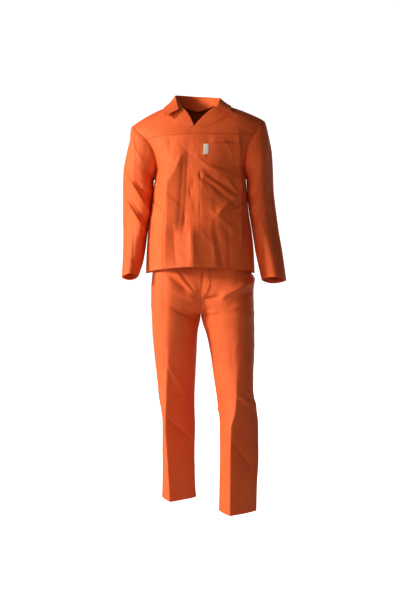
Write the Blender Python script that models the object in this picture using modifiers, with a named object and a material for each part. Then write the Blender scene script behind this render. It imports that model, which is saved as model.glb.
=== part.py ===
"""A two-piece work suit, worn: jacket with an open collar, yokes and patch pockets, and creased trousers.

Metres, +Z up. The front of the suit faces -Y and the wearer's left is +X. The origin is the middle of
the neck opening at the height of the shoulder seams. Every piece is a sheet of cloth with a real wall.
"""

import math
from typing import NamedTuple

import bmesh
import bpy
import numpy as np

# Cloth, in metres.
WALL = 0.0015
SEAM_GAP = 0.0003
LAP_LIFT = 0.0014
STRIP_LIFT = WALL + SEAM_GAP + 0.0003
LAPEL_LIFT = STRIP_LIFT + 0.0006
LAPEL_SWELL = 0.003
SEAM_PULL = 0.0004
SLEEVE_HEAD_GAP = 0.0012
UNDERARM_GAP = 0.0012

# Jacket closure: the left front laps over the right one.
CENTRE_X = -0.012
LAP_UNDER_X = 0.010
LAP_FADE = 0.030

# Patch pockets and tab, as seen from the front.
CHEST_POCKET_X = (0.0390, 0.1430)
CHEST_POCKET_Z = (-0.2400, -0.1260)
CHEST_PATCH_LIFT = 0.0044
LOWER_POCKET_IN_X = 0.115
LOWER_POCKET_REACH = 0.93
LOWER_POCKET_TOP_Z = (-0.362, -0.318)
FRONT_STRIP_X = 0.0055
STRIP_INSET = 0.012
STRIP_START = 0.08
LINE_MARGIN = 0.02
LEVEL_MARGIN = 0.12
LOWER_POCKET_LIFT = 0.0036
LOWER_POCKET_LEVEL = 1.5
TAB_X = (0.0190, 0.0365)
TAB_Z = (-0.1640, -0.1290)

# The cuffs' front edges stand higher than their back ones, as the forearms reach forward.
CUFF_LEAN = 0.22
SLEEVE_HEAD_PUFF = 0.004
BACK_FOLD_DROP = 0.030

# Trousers.
BAND_TOP_Z = -0.430
BAND_BOTTOM_Z = -0.468
FLY_WIDTH = 0.030
FLY_BOTTOM_Z = -0.672
FLY_INSET = 0.012
FLY_LIFT = 0.0028
FLY_CURVE = 0.060
FLY_FOOT = 0.3

# Folds die away over this share of a panel's width beside a seam, and over this share of their length
# at each end, where they also run on a little. Near the shoulders they die away over some levels.
SEAM_CALM = 0.22
LEG_SEAM_CALM = 0.15
FOLD_TAIL = 0.2
FOLD_EASE = 0.4
SHOULDER_CALM = 2

# How finely the pieces are divided.
BODY_COLUMNS = 10
BODY_ROWS = 12
ARMHOLE_ROWS = 5
SLEEVE_ROWS = 14
LEG_COLUMNS = 10
COLLAR_COLUMNS = 22
LAPEL_ROWS = 7
LAPEL_COLUMNS = 5
POCKET_ROWS = 8
PLACE_STEPS = 400
PLACE_ROUNDS = 12
FIRST_S = 0.2
FARTHEST_S = 0.98

# The step that slopes are read over, and the distance under which two points are one.
STEP = 1e-3
WELD = 1e-6

COLLECTION = "work_suit"
ORANGE = (0.80, 0.13, 0.035, 1.0)
PLAIN_WHITE = (0.82, 0.80, 0.76, 1.0)
CLOTH_ROUGHNESS = 0.85


class Level(NamedTuple):
    """One level of the jacket's front or back: its middle, and its edge at the side seam or armhole."""

    mid_y: float
    mid_z: float
    right_in_x: float
    left_in_x: float
    right_x: float
    left_x: float
    edge_y: float
    right_z: float
    left_z: float
    turn: float


FRONT = [
    Level(-0.152, -0.553, -0.012, -0.012, -0.186, 0.203, 0.000, -0.581, -0.580, 90),
    Level(-0.151, -0.500, -0.012, -0.012, -0.183, 0.199, 0.000, -0.500, -0.500, 90),
    Level(-0.150, -0.430, -0.012, -0.012, -0.178, 0.192, 0.000, -0.430, -0.430, 90),
    Level(-0.149, -0.353, -0.012, -0.012, -0.165, 0.180, 0.000, -0.353, -0.353, 90),
    Level(-0.149, -0.281, -0.012, -0.012, -0.157, 0.173, 0.000, -0.281, -0.281, 90),
    Level(-0.147, -0.225, -0.012, -0.012, -0.152, 0.168, 0.000, -0.225, -0.222, 90),
    Level(-0.144, -0.193, -0.012, -0.012, -0.150, 0.166, -0.042, -0.196, -0.190, 76),
    Level(-0.139, -0.158, -0.012, -0.012, -0.153, 0.169, -0.064, -0.163, -0.155, 66),
    Level(-0.131, -0.122, -0.012, -0.012, -0.166, 0.180, -0.071, -0.132, -0.120, 58),
    Level(-0.119, -0.089, -0.012, -0.012, -0.186, 0.197, -0.067, -0.104, -0.090, 52),
    Level(-0.107, -0.067, -0.012, -0.012, -0.207, 0.213, -0.055, -0.086, -0.069, 48),
    Level(-0.090, -0.030, -0.028, 0.018, -0.221, 0.225, -0.036, -0.070, -0.050, 42),
    Level(-0.062, 0.003, -0.052, 0.051, -0.230, 0.231, -0.016, -0.060, -0.040, 34),
    Level(0.004, 0.022, -0.072, 0.072, -0.234, 0.234, 0.004, -0.054, -0.034, 26),
]
BACK = [
    Level(0.150, -0.572, 0.008, 0.008, -0.186, 0.203, 0.000, -0.581, -0.580, 90),
    Level(0.146, -0.500, 0.008, 0.008, -0.183, 0.199, 0.000, -0.500, -0.500, 90),
    Level(0.140, -0.430, 0.008, 0.008, -0.178, 0.192, 0.000, -0.430, -0.430, 90),
    Level(0.134, -0.353, 0.008, 0.008, -0.165, 0.180, 0.000, -0.353, -0.353, 90),
    Level(0.131, -0.281, 0.008, 0.008, -0.157, 0.173, 0.000, -0.281, -0.281, 90),
    Level(0.130, -0.225, 0.008, 0.008, -0.152, 0.168, 0.000, -0.225, -0.222, 90),
    Level(0.131, -0.188, 0.006, 0.006, -0.151, 0.167, 0.046, -0.194, -0.188, 78),
    Level(0.129, -0.148, 0.004, 0.004, -0.155, 0.171, 0.070, -0.158, -0.150, 68),
    Level(0.122, -0.106, 0.002, 0.002, -0.169, 0.183, 0.077, -0.124, -0.112, 60),
    Level(0.112, -0.074, 0.001, 0.001, -0.189, 0.200, 0.071, -0.097, -0.082, 54),
    Level(0.096, -0.036, 0.000, 0.000, -0.209, 0.215, 0.057, -0.079, -0.063, 48),
    Level(0.070, 0.006, 0.000, 0.000, -0.223, 0.226, 0.039, -0.066, -0.048, 42),
    Level(0.050, 0.017, -0.046, 0.046, -0.231, 0.232, 0.022, -0.058, -0.039, 34),
    Level(0.004, 0.022, -0.072, 0.072, -0.234, 0.234, 0.004, -0.054, -0.034, 26),
]
UNDERARM, YOKE, V_BOTTOM, SHOULDER = 5, 9, 10, 13


class Lap(NamedTuple):
    """The left front's edge, seen from the front."""

    z: float
    x: float


LAP_EDGE = [Lap(-0.60, -0.029), Lap(-0.42, -0.028), Lap(-0.25, -0.022), Lap(-0.09, -0.018), Lap(0.0, -0.012)]


class Arm(NamedTuple):
    """One ring of a sleeve: outer and inner points seen from the front, and place and depth along Y."""

    outer_x: float
    outer_z: float
    inner_x: float
    inner_z: float
    mid_y: float
    depth: float


RIGHT_SLEEVE = [
    Arm(0.2430, -0.106, 0.1592, -0.248, 0.004, 0.080),
    Arm(0.2570, -0.158, 0.1602, -0.270, 0.008, 0.080),
    Arm(0.2670, -0.216, 0.1612, -0.294, 0.012, 0.078),
    Arm(0.2690, -0.274, 0.1652, -0.328, 0.015, 0.075),
    Arm(0.2690, -0.336, 0.1700, -0.361, 0.014, 0.072),
    Arm(0.2690, -0.390, 0.1760, -0.397, 0.009, 0.069),
    Arm(0.2680, -0.440, 0.1825, -0.440, 0.001, 0.067),
    Arm(0.2680, -0.489, 0.1872, -0.482, -0.010, 0.065),
    Arm(0.2690, -0.539, 0.1955, -0.534, -0.022, 0.063),
    Arm(0.2720, -0.594, 0.2120, -0.588, -0.034, 0.062),
]
LEFT_SLEEVE = [
    Arm(0.2530, -0.092, 0.1738, -0.243, 0.004, 0.080),
    Arm(0.2650, -0.152, 0.1756, -0.268, 0.008, 0.080),
    Arm(0.2690, -0.216, 0.1776, -0.300, 0.012, 0.078),
    Arm(0.2710, -0.274, 0.1812, -0.332, 0.015, 0.075),
    Arm(0.2770, -0.332, 0.1848, -0.361, 0.014, 0.072),
    Arm(0.2840, -0.386, 0.1905, -0.397, 0.008, 0.069),
    Arm(0.2920, -0.443, 0.1980, -0.447, -0.002, 0.067),
    Arm(0.3010, -0.497, 0.2052, -0.497, -0.014, 0.065),
    Arm(0.3080, -0.550, 0.2160, -0.550, -0.026, 0.063),
    Arm(0.3150, -0.604, 0.2275, -0.602, -0.036, 0.062),
]


class Leg(NamedTuple):
    """One level of a trouser leg: its seams, its front and back creases, and how sharp the creases are."""

    z: float
    outer_x: float
    inner_x: float
    crease_x: float
    seam_y: float
    front_y: float
    back_y: float
    inner_front_y: float
    inner_back_y: float
    crease: float


RIGHT_LEG = [
    Leg(-0.4690, -0.136, 0.0100, -0.0630, 0.000, -0.098, 0.090, -0.108, 0.098, 0.00),
    Leg(-0.5200, -0.152, 0.0100, -0.0720, 0.000, -0.106, 0.104, -0.112, 0.108, 0.00),
    Leg(-0.5750, -0.163, 0.0100, -0.0820, 0.002, -0.112, 0.115, -0.115, 0.113, 0.00),
    Leg(-0.6200, -0.167, 0.0100, -0.0890, 0.002, -0.117, 0.124, -0.112, 0.110, 0.00),
    Leg(-0.6700, -0.169, 0.0100, -0.0940, 0.004, -0.116, 0.130, -0.100, 0.094, 0.00),
    Leg(-0.7120, -0.168, 0.0098, -0.0970, 0.006, -0.114, 0.128, -0.060, 0.055, 0.00),
    Leg(-0.7330, -0.167, 0.0086, -0.0980, 0.008, -0.112, 0.127, 0.003, 0.003, 0.00),
    Leg(-0.7580, -0.166, 0.0052, -0.0990, 0.010, -0.110, 0.126, 0.007, 0.007, 0.00),
    Leg(-0.7900, -0.165, -0.0010, -0.1010, 0.013, -0.106, 0.125, 0.010, 0.010, 0.02),
    Leg(-0.8670, -0.159, -0.0050, -0.1050, 0.024, -0.092, 0.128, 0.022, 0.022, 0.10),
    Leg(-0.9560, -0.150, -0.0100, -0.1110, 0.037, -0.072, 0.136, 0.036, 0.036, 0.36),
    Leg(-1.0450, -0.142, -0.0130, -0.1140, 0.050, -0.052, 0.144, 0.050, 0.050, 0.52),
    Leg(-1.0900, -0.135, -0.0120, -0.1165, 0.057, -0.042, 0.148, 0.057, 0.057, 0.55),
    Leg(-1.1350, -0.131, -0.0110, -0.1170, 0.064, -0.033, 0.152, 0.064, 0.064, 0.58),
    Leg(-1.2550, -0.132, -0.0130, -0.1110, 0.081, -0.010, 0.164, 0.081, 0.081, 0.64),
    Leg(-1.3620, -0.133, -0.0110, -0.1055, 0.096, 0.010, 0.178, 0.096, 0.096, 0.68),
    Leg(-1.4180, -0.135, -0.0070, -0.1030, 0.100, 0.014, 0.184, 0.100, 0.100, 0.70),
]
LEFT_LEG = [
    Leg(-0.4690, 0.156, 0.0100, 0.0830, 0.000, -0.098, 0.090, -0.108, 0.098, 0.00),
    Leg(-0.5200, 0.172, 0.0100, 0.0920, 0.000, -0.106, 0.104, -0.112, 0.108, 0.00),
    Leg(-0.5750, 0.190, 0.0100, 0.1020, 0.002, -0.113, 0.115, -0.115, 0.113, 0.00),
    Leg(-0.6050, 0.203, 0.0100, 0.1100, 0.002, -0.118, 0.121, -0.113, 0.112, 0.00),
    Leg(-0.6500, 0.200, 0.0100, 0.1180, 0.002, -0.121, 0.130, -0.106, 0.103, 0.00),
    Leg(-0.7120, 0.201, 0.0102, 0.1250, 0.000, -0.121, 0.126, -0.060, 0.055, 0.00),
    Leg(-0.7330, 0.202, 0.0114, 0.1270, -0.002, -0.121, 0.123, 0.003, 0.003, 0.00),
    Leg(-0.7580, 0.202, 0.0176, 0.1280, -0.005, -0.121, 0.119, -0.004, -0.004, 0.00),
    Leg(-0.7900, 0.202, 0.0290, 0.1300, -0.008, -0.122, 0.116, -0.010, -0.010, 0.02),
    Leg(-0.8670, 0.202, 0.0450, 0.1330, -0.020, -0.126, 0.100, -0.022, -0.022, 0.06),
    Leg(-0.9460, 0.198, 0.0560, 0.1355, -0.034, -0.134, 0.080, -0.036, -0.036, 0.16),
    Leg(-1.0290, 0.200, 0.0680, 0.1330, -0.048, -0.144, 0.060, -0.050, -0.050, 0.46),
    Leg(-1.0710, 0.210, 0.0730, 0.1280, -0.055, -0.150, 0.050, -0.056, -0.056, 0.55),
    Leg(-1.1130, 0.215, 0.0770, 0.1165, -0.062, -0.156, 0.041, -0.062, -0.062, 0.58),
    Leg(-1.2230, 0.216, 0.0780, 0.1130, -0.077, -0.168, 0.020, -0.077, -0.077, 0.64),
    Leg(-1.3320, 0.210, 0.0760, 0.1120, -0.092, -0.178, -0.004, -0.092, -0.092, 0.68),
    Leg(-1.4180, 0.208, 0.0740, 0.1115, -0.100, -0.184, -0.014, -0.100, -0.100, 0.70),
]
CROTCH = 6
HIP_LEVELS = [0, 1, 2, 3, 4, 4.5, 5, 5.5, 6, 6.5, 7]
SHANK_LEVELS = [8, 8.5, 9, 9.5, 10, 11, 12, 13, 13.5, 14, 15, 16]
LEG_LEVELS = np.array(HIP_LEVELS + SHANK_LEVELS)


class Turn(NamedTuple):
    """One station round the collar: where it is sewn on, where it folds over, and its outer edge."""

    seam_x: float
    seam_y: float
    seam_z: float
    fold_x: float
    fold_y: float
    fold_z: float
    edge_x: float
    edge_y: float
    edge_z: float


RIGHT_COLLAR = [
    Turn(0.000, 0.062, 0.014, 0.000, 0.074, 0.060, 0.000, 0.104, 0.006),
    Turn(-0.040, 0.050, 0.021, -0.050, 0.056, 0.061, -0.070, 0.080, 0.012),
    Turn(-0.064, 0.010, 0.026, -0.081, 0.006, 0.055, -0.112, 0.012, 0.015),
    Turn(-0.062, -0.034, 0.019, -0.078, -0.038, 0.039, -0.120, -0.044, 0.003),
    Turn(-0.0575, -0.068, 0.005, -0.0675, -0.082, -0.007, -0.114, -0.096, -0.034),
]
LEFT_COLLAR = [
    Turn(0.000, 0.062, 0.014, 0.000, 0.074, 0.060, 0.000, 0.104, 0.006),
    Turn(0.040, 0.050, 0.021, 0.050, 0.056, 0.055, 0.070, 0.080, 0.013),
    Turn(0.064, 0.010, 0.026, 0.081, 0.004, 0.045, 0.112, 0.010, 0.018),
    Turn(0.062, -0.034, 0.020, 0.078, -0.038, 0.036, 0.118, -0.040, 0.010),
    Turn(0.0565, -0.066, 0.007, 0.0660, -0.078, 0.004, 0.112, -0.092, -0.021),
]


COLLAR_ROLL = 0.06
COLLAR_SAG = 0.05
COLLAR_STAND_SHARES = ((0.0, 0.0), (0.45, 0.01), (0.86, 0.02))
COLLAR_LEAF_SHARES = (0.2, 0.45, 0.72, 1.0)


class Lapel(NamedTuple):
    """One line across a turned-back front edge, from the roll to the lapel's edge, seen from the front."""

    roll_x: float
    roll_z: float
    edge_x: float
    edge_z: float


RIGHT_LAPEL = [
    Lapel(-0.0160, -0.0630, -0.0240, -0.0680),
    Lapel(-0.0290, -0.0330, -0.0560, -0.0600),
    Lapel(-0.0440, -0.0100, -0.0850, -0.0480),
    Lapel(-0.0590, 0.0030, -0.1040, -0.0330),
]
LEFT_LAPEL = [
    Lapel(-0.0060, -0.0630, 0.0040, -0.0680),
    Lapel(0.0190, -0.0330, 0.0440, -0.0580),
    Lapel(0.0390, -0.0140, 0.0760, -0.0440),
    Lapel(0.0570, -0.0010, 0.1000, -0.0260),
]


class Fold(NamedTuple):
    """A soft fold along a line seen from the front: height is out from the cloth, or into it below zero."""

    start_x: float
    start_z: float
    end_x: float
    end_z: float
    width: float
    height: float


FRONT_FOLDS = [
    Fold(-0.100, -0.20, -0.114, -0.55, 0.026, 0.015),
    Fold(-0.040, -0.15, -0.062, -0.46, 0.030, -0.012),
    Fold(0.034, -0.232, 0.145, -0.30, 0.020, -0.0095),
    Fold(0.034, -0.200, 0.120, -0.240, 0.016, 0.004),
    Fold(0.140, -0.30, 0.070, -0.37, 0.015, 0.008),
    Fold(-0.022, -0.42, -0.020, -0.56, 0.028, 0.010),
    Fold(-0.056, -0.165, -0.098, -0.27, 0.018, 0.006),
    Fold(0.060, -0.42, 0.090, -0.56, 0.022, -0.007),
    Fold(0.150, -0.24, 0.150, -0.48, 0.016, 0.007),
]
BACK_FOLDS = [
    Fold(-0.110, -0.16, -0.085, -0.50, 0.020, 0.0095),
    Fold(0.120, -0.15, 0.100, -0.47, 0.020, 0.0095),
    Fold(-0.050, -0.24, -0.040, -0.55, 0.022, -0.008),
    Fold(0.055, -0.22, 0.050, -0.54, 0.022, -0.008),
    Fold(-0.060, -0.34, 0.075, -0.36, 0.016, 0.007),
]
SLEEVE_FOLDS = [
    Fold(0.268, -0.23, 0.185, -0.36, 0.014, 0.008),
    Fold(0.255, -0.32, 0.185, -0.42, 0.012, 0.007),
    Fold(0.262, -0.27, 0.190, -0.39, 0.012, -0.008),
    Fold(0.215, -0.14, 0.180, -0.25, 0.014, -0.0055),
]
LEG_FRONT_FOLDS = [
    Fold(-0.110, -0.58, -0.035, -0.64, 0.014, -0.007),
    Fold(0.080, -0.66, 0.190, -0.61, 0.014, 0.0095),
    Fold(0.020, -0.665, 0.080, -0.665, 0.012, -0.007),
    Fold(0.030, -0.715, 0.065, -0.712, 0.012, 0.007),
    Fold(-0.090, -0.70, -0.010, -0.74, 0.014, -0.0055),
]
LEG_BACK_FOLDS = [
    Fold(-0.100, -0.70, -0.010, -0.76, 0.016, -0.008),
    Fold(0.110, -0.70, 0.020, -0.76, 0.016, -0.008),
    Fold(-0.150, -0.78, -0.030, -0.80, 0.014, 0.007),
    Fold(0.180, -0.78, 0.050, -0.80, 0.014, 0.007),
]


def steady_slope(before, after):
    """The slope between two steps that lets a curve through them pass without overshooting."""
    same_way = before * after > 0
    total = np.where(same_way, before + after, 1.0)
    return np.where(same_way, 2 * before * after / total, 0.0)


def row_at(rows, place):
    """The named row at a fractional place in a table, on a smooth curve through its rows."""
    table = np.array(rows, float)
    place = min(max(place, 0.0), len(rows) - 1.0)
    k = min(int(place), len(rows) - 2)
    t = place - k
    before = table[max(k - 1, 0)]
    a = table[k]
    b = table[k + 1]
    after = table[min(k + 2, len(rows) - 1)]
    slope_a = steady_slope(a - before, b - a)
    slope_b = steady_slope(b - a, after - b)
    blend = (
        a * (2 * t**3 - 3 * t**2 + 1)
        + slope_a * (t**3 - 2 * t**2 + t)
        + b * (3 * t**2 - 2 * t**3)
        + slope_b * (t**3 - t**2)
    )
    return type(rows[0])(*blend)


def smooth(t):
    """Eases from 0 to 1 as t does."""
    t = min(max(t, 0.0), 1.0)
    return t * t * (3 - 2 * t)


def fold_height(folds, x, z, mirror=1):
    """How far the folds move the cloth out at a place seen from the front."""
    total = 0.0
    for fold in folds:
        ax, bx = fold.start_x * mirror, fold.end_x * mirror
        dx, dz = bx - ax, fold.end_z - fold.start_z
        length = math.hypot(dx, dz)
        along = ((x - ax) * dx + (z - fold.start_z) * dz) / length**2
        across = ((x - ax) * dz - (z - fold.start_z) * dx) / length
        if -FOLD_TAIL < along < 1 + FOLD_TAIL:
            ends = smooth((along + FOLD_TAIL) / FOLD_EASE) * smooth((1 + FOLD_TAIL - along) / FOLD_EASE)
            total += fold.height * ends * math.exp(-((across / fold.width) ** 2))
    return total


def torso_base(rows, s, place):
    """A point of the jacket's front or back: s runs from -1 at the right side, over the middle, to 1."""
    row = row_at(rows, place)
    turn = math.radians(row.turn)
    reach = abs(s)
    if s < 0:
        in_x, edge_x, edge_z = row.right_in_x, row.right_x, row.right_z
    else:
        in_x, edge_x, edge_z = row.left_in_x, row.left_x, row.left_z
    out = math.sin(turn * reach) / math.sin(turn)
    round_off = (1 - math.cos(turn * reach)) / (1 - math.cos(turn))
    x = in_x + (edge_x - in_x) * out
    y = row.mid_y + (row.edge_y - row.mid_y) * round_off
    z = row.mid_z + (edge_z - row.mid_z) * reach**1.4
    return np.array([x, y, z])


def moved_out(base, s, place, outward, height):
    """The base surface's point moved out along its normal."""
    point = base(s, place)
    ds = base(s + STEP, place) - base(s - STEP, place)
    dp = base(s, place + STEP) - base(s, place - STEP)
    normal = np.cross(ds, dp)
    size = np.linalg.norm(normal)
    if size < STEP**4:
        return point
    return point + normal / size * outward * height


def lap_edge_x(z):
    """Where the left front's edge lies at a height."""
    return float(np.interp(z, [lap.z for lap in LAP_EDGE], [lap.x for lap in LAP_EDGE]))


def lap_lift(x, z, piece):
    """The left front lies over the right one, so near the lap one moves out and the other in."""
    if piece == "left":
        return LAP_LIFT * smooth((LAP_UNDER_X + LAP_FADE - x) / LAP_FADE)
    return -LAP_LIFT * smooth((x - lap_edge_x(z) + LAP_FADE) / LAP_FADE)


def front_point(s, place, piece, extra=0.0):
    """A point of the jacket's front cloth with its folds and lap."""
    x, _, z = torso_base(FRONT, s, place)
    fade = smooth((1 - abs(s)) / SEAM_CALM) * smooth((SHOULDER - place) / SHOULDER_CALM)
    lap = lap_lift(x, z, piece) * smooth(V_BOTTOM + 0.5 - place)
    height = fold_height(FRONT_FOLDS, x, z) * fade + lap + extra
    return moved_out(lambda a, b: torso_base(FRONT, a, b), s, place, 1, height)


def back_point(s, place, extra=0.0):
    """A point of the jacket's back cloth with its folds."""
    x, _, z = torso_base(BACK, s, place)
    fade = smooth((1 - abs(s)) / SEAM_CALM) * smooth((SHOULDER - place) / SHOULDER_CALM)
    height = fold_height(BACK_FOLDS, x, z) * fade + extra
    return moved_out(lambda a, b: torso_base(BACK, a, b), s, place, -1, height)


def s_at_x(place, x):
    """Which s of the front's surface lies at this x, at a level below the neck."""
    row = row_at(FRONT, place)
    turn = math.radians(row.turn)
    if x < row.right_in_x:
        share = (x - row.right_in_x) / (row.right_x - row.right_in_x)
        return -math.asin(min(share, 1.0) * math.sin(turn)) / turn
    share = (x - row.left_in_x) / (row.left_x - row.left_in_x)
    return math.asin(min(share, 1.0) * math.sin(turn)) / turn


def place_at_z(z, s):
    """Which level of the front's table lies at this height, at a given s."""
    places = np.linspace(0, SHOULDER, PLACE_STEPS)
    heights = [torso_base(FRONT, s, place)[2] for place in places]
    return float(np.interp(z, heights, places))


def drawn_in(grid, edges):
    """Each named edge of a grid of points moves in, so that the walls stay a seam gap apart."""
    grid = grid.copy()
    neighbours = {"first_row": (0, 1), "last_row": (-1, -2)}
    for name, (edge, inside) in neighbours.items():
        if name in edges:
            step = grid[inside] - grid[edge]
            grid[edge] += step / np.linalg.norm(step, axis=-1, keepdims=True) * SEAM_PULL
    columns = {"first_column": (0, 1), "last_column": (-1, -2)}
    for name, (edge, inside) in columns.items():
        if name in edges:
            step = grid[:, inside] - grid[:, edge]
            grid[:, edge] += step / np.linalg.norm(step, axis=-1, keepdims=True) * SEAM_PULL
    return grid


def cloth(name, grids, colour=ORANGE, ring=False):
    """One or more open grids of points, or a ring of them, made a sheet of cloth with Solidify."""
    mesh = bpy.data.meshes.new(name)
    body = bmesh.new()
    for grid in grids:
        rows, columns = grid.shape[:2]
        points = [[body.verts.new(tuple(point)) for point in row] for row in grid]
        for i in range(rows - 1):
            for j in range(columns if ring else columns - 1):
                k = (j + 1) % columns
                body.faces.new((points[i][j], points[i][k], points[i + 1][k], points[i + 1][j]))
    bmesh.ops.remove_doubles(body, verts=body.verts, dist=WELD)
    bmesh.ops.recalc_face_normals(body, faces=body.faces)
    body.to_mesh(mesh)
    body.free()
    mesh.materials.append(cloth_material(name, colour))
    mesh.shade_smooth()
    piece = bpy.data.objects.new(name, mesh)
    bpy.data.collections[COLLECTION].objects.link(piece)
    solid = piece.modifiers.new("Cloth", "SOLIDIFY")
    solid.thickness = WALL
    solid.offset = 0


def cloth_material(name, colour):
    """A matt cloth of one colour."""
    material = bpy.data.materials.new(name)
    material.use_nodes = True
    shader = material.node_tree.nodes["Principled BSDF"]
    shader.inputs["Base Color"].default_value = colour
    shader.inputs["Roughness"].default_value = CLOTH_ROUGHNESS
    shader.inputs["Metallic"].default_value = 0.0
    return material


def grid_of(point, across, levels):
    """Points at each level and each place across it, where across may depend on the level."""
    return np.array([[point(s, place) for s in across(place)] for place in levels])


BODY_LEVELS = np.linspace(0, UNDERARM, BODY_ROWS + 1)
ARMHOLE_LEVELS = np.linspace(UNDERARM, YOKE, ARMHOLE_ROWS + 1)
PANEL_LEVELS = np.concatenate([BODY_LEVELS, ARMHOLE_LEVELS[1:]])
YOKE_LEVELS = np.array([9.0, 10.0, 11.0, 11.5, 12.0, 12.5, 13.0])
ON_MIDDLE = 1e-9
YOKE_FIRST_STEP = 0.02


def lap_s(place):
    """Where the left front's edge lies across the front, at a level."""
    return s_at_x(place, lap_edge_x(row_at(FRONT, place).mid_z))


def under_s(place):
    """Where the right front's hidden edge lies under the left one, at a level."""
    return s_at_x(place, LAP_UNDER_X)


def outward_steps(first):
    """Places from just past a first s to the side, evenly apart."""
    share = np.linspace(0, 1, BODY_COLUMNS + 1)[1:]
    return first + (1 - first) * share


def front_columns(piece):
    """The left front starts at the lap's edge and the right one under it, and both share the lines there."""
    if piece == "left":
        return lambda place: [lap_s(place), 0.0, under_s(place), *outward_steps(under_s(place))]
    return lambda place: [under_s(place), 0.0, lap_s(place), *(-outward_steps(-lap_s(place)))]


def build_fronts():
    """The two fronts, from the hem to the yoke seam."""
    for piece in ("right", "left"):
        across = front_columns(piece)
        grid = grid_of(lambda s, place: front_point(s, place, piece), across, PANEL_LEVELS)
        cloth(f"jacket_front_{piece}", [drawn_in(grid, ("last_row", "last_column"))])


def build_front_yokes():
    """They meet at the lap's edge as far as the bottom of the V, where the roll lines start."""
    for piece, side in (("right", -1), ("left", 1)):
        def across(place):
            lapped = smooth((V_BOTTOM - place) / (V_BOTTOM - YOKE))
            first = lap_s(min(place, V_BOTTOM)) * lapped if lapped else side * ON_MIDDLE
            return [first, *(side * outward_steps(YOKE_FIRST_STEP))]

        grid = grid_of(lambda s, place: front_point(s, place, piece), across, YOKE_LEVELS)
        edges = ("first_row", "last_row", "first_column", "last_column")
        cloth(f"jacket_front_yoke_{piece}", [drawn_in(grid, edges)])


def build_back():
    """Both halves share the middle line as far as the neckline, and part round the neck above it."""
    pieces = (
        ("jacket_back", PANEL_LEVELS, ("last_row", "last_column")),
        ("jacket_back_yoke", YOKE_LEVELS, ("first_row", "last_row", "last_column")),
    )
    for name, levels, edges in pieces:
        halves = []
        for side in (-1, 1):
            line = [side * ON_MIDDLE, *(side * outward_steps(0.0))]
            halves.append(drawn_in(grid_of(back_point, lambda place: line, levels), edges))
        cloth(name, halves)


def armhole_ring(side):
    """The armhole, from the underarm up the front to the shoulder tip and down the back."""
    levels = np.concatenate([ARMHOLE_LEVELS, YOKE_LEVELS[1:]])
    front = [torso_base(FRONT, side, place) for place in levels]
    back = [torso_base(BACK, side, place) for place in levels[1:-1][::-1]]
    ring = np.array(front + back)
    top, bottom = ring[:, 2].max(), ring[:, 2].min()
    low = ((top - ring[:, 2]) / (top - bottom)) ** 2
    ring[:, 0] += side * (SLEEVE_HEAD_GAP + UNDERARM_GAP * low)
    return ring


def sleeve_point(rows, side, place, angle):
    """A point on a ring of the sleeve: angle 0 is its inner side, and it turns over the front."""
    row = row_at(rows, place)
    middle = np.array([(row.outer_x + row.inner_x) / 2, row.mid_y, (row.outer_z + row.inner_z) / 2])
    inward = np.array([row.inner_x - row.outer_x, 0.0, row.inner_z - row.outer_z]) / 2
    forward = np.array([0.0, -row.depth, row.depth * CUFF_LEAN * (place / (len(rows) - 1)) ** 2])
    point = middle + inward * math.cos(angle) + forward * math.sin(angle)
    out = point - middle
    out /= np.linalg.norm(out)
    front_share = math.sin(angle)
    lift = fold_height(SLEEVE_FOLDS, point[0], point[2]) * max(front_share, 0.0)
    lift += fold_height(SLEEVE_FOLDS, point[0], point[2] + BACK_FOLD_DROP) * max(-front_share, 0.0)
    point = point + out * lift
    point[0] *= side
    return point


def build_sleeve(name, rows, side):
    """A tube from the armhole to the cuff."""
    first = armhole_ring(side)
    count = len(first)
    angles = np.linspace(0, 2 * math.pi, count, endpoint=False)
    places = np.linspace(0, len(rows) - 1, SLEEVE_ROWS)
    rings = [np.array([sleeve_point(rows, side, place, angle) for angle in angles]) for place in places]
    head = (first + rings[0]) / 2
    outward = head - head.mean(axis=0)
    outward /= np.linalg.norm(outward, axis=1, keepdims=True)
    rings = [first, head + outward * SLEEVE_HEAD_PUFF, *rings]
    cloth(name, [drawn_in(np.array(rings), ("first_row",))], ring=True)


def is_inside(s, span):
    """Whether a line of the front lies between a patch's two edges, clear of both."""
    near, far = sorted(map(abs, span))
    return near + LINE_MARGIN < abs(s) < far - LINE_MARGIN


def build_chest_patch(name, span, levels, colour):
    """A patch on the left front, between two edges given as s at each level, on the front's own lines."""
    columns = front_columns("left")
    inside = [k for k in range(len(columns(0.0))) if all(is_inside(columns(p)[k], span(p)) for p in levels)]
    rows = []
    for place in levels:
        first, last = sorted(span(place), key=abs)
        across = [first, *(columns(place)[k] for k in inside), last]
        rows.append([front_point(s, place, "left", CHEST_PATCH_LIFT) for s in across])
    cloth(name, [np.array(rows)], colour)


def levels_between(low, high):
    """The panel's own levels between two places, and the two ends."""
    inside = [place for place in PANEL_LEVELS if low + LEVEL_MARGIN < place < high - LEVEL_MARGIN]
    return [low, *inside, high]


def build_chest_patches():
    """The chest pocket, the tab beside it, and the strip that hides the closure."""
    for name, across, heights, colour in (
        ("chest_pocket", CHEST_POCKET_X, CHEST_POCKET_Z, ORANGE),
        ("blank_tab", TAB_X, TAB_Z, PLAIN_WHITE),
    ):
        s_middle = s_at_x(YOKE - 1, sum(across) / 2)
        levels = levels_between(*(place_at_z(z, s_middle) for z in heights))
        build_chest_patch(name, lambda place: [s_at_x(place, x) for x in across], levels, colour)
    rows = []
    for place in levels_between(STRIP_START, YOKE - STRIP_START):
        first, last = lap_s(place) + STRIP_INSET, s_at_x(place, FRONT_STRIP_X)
        rows.append([front_point(s, place, "left", STRIP_LIFT) for s in (first, 0.0, last)])
    cloth("front_strip", [np.array(rows)])


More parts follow.
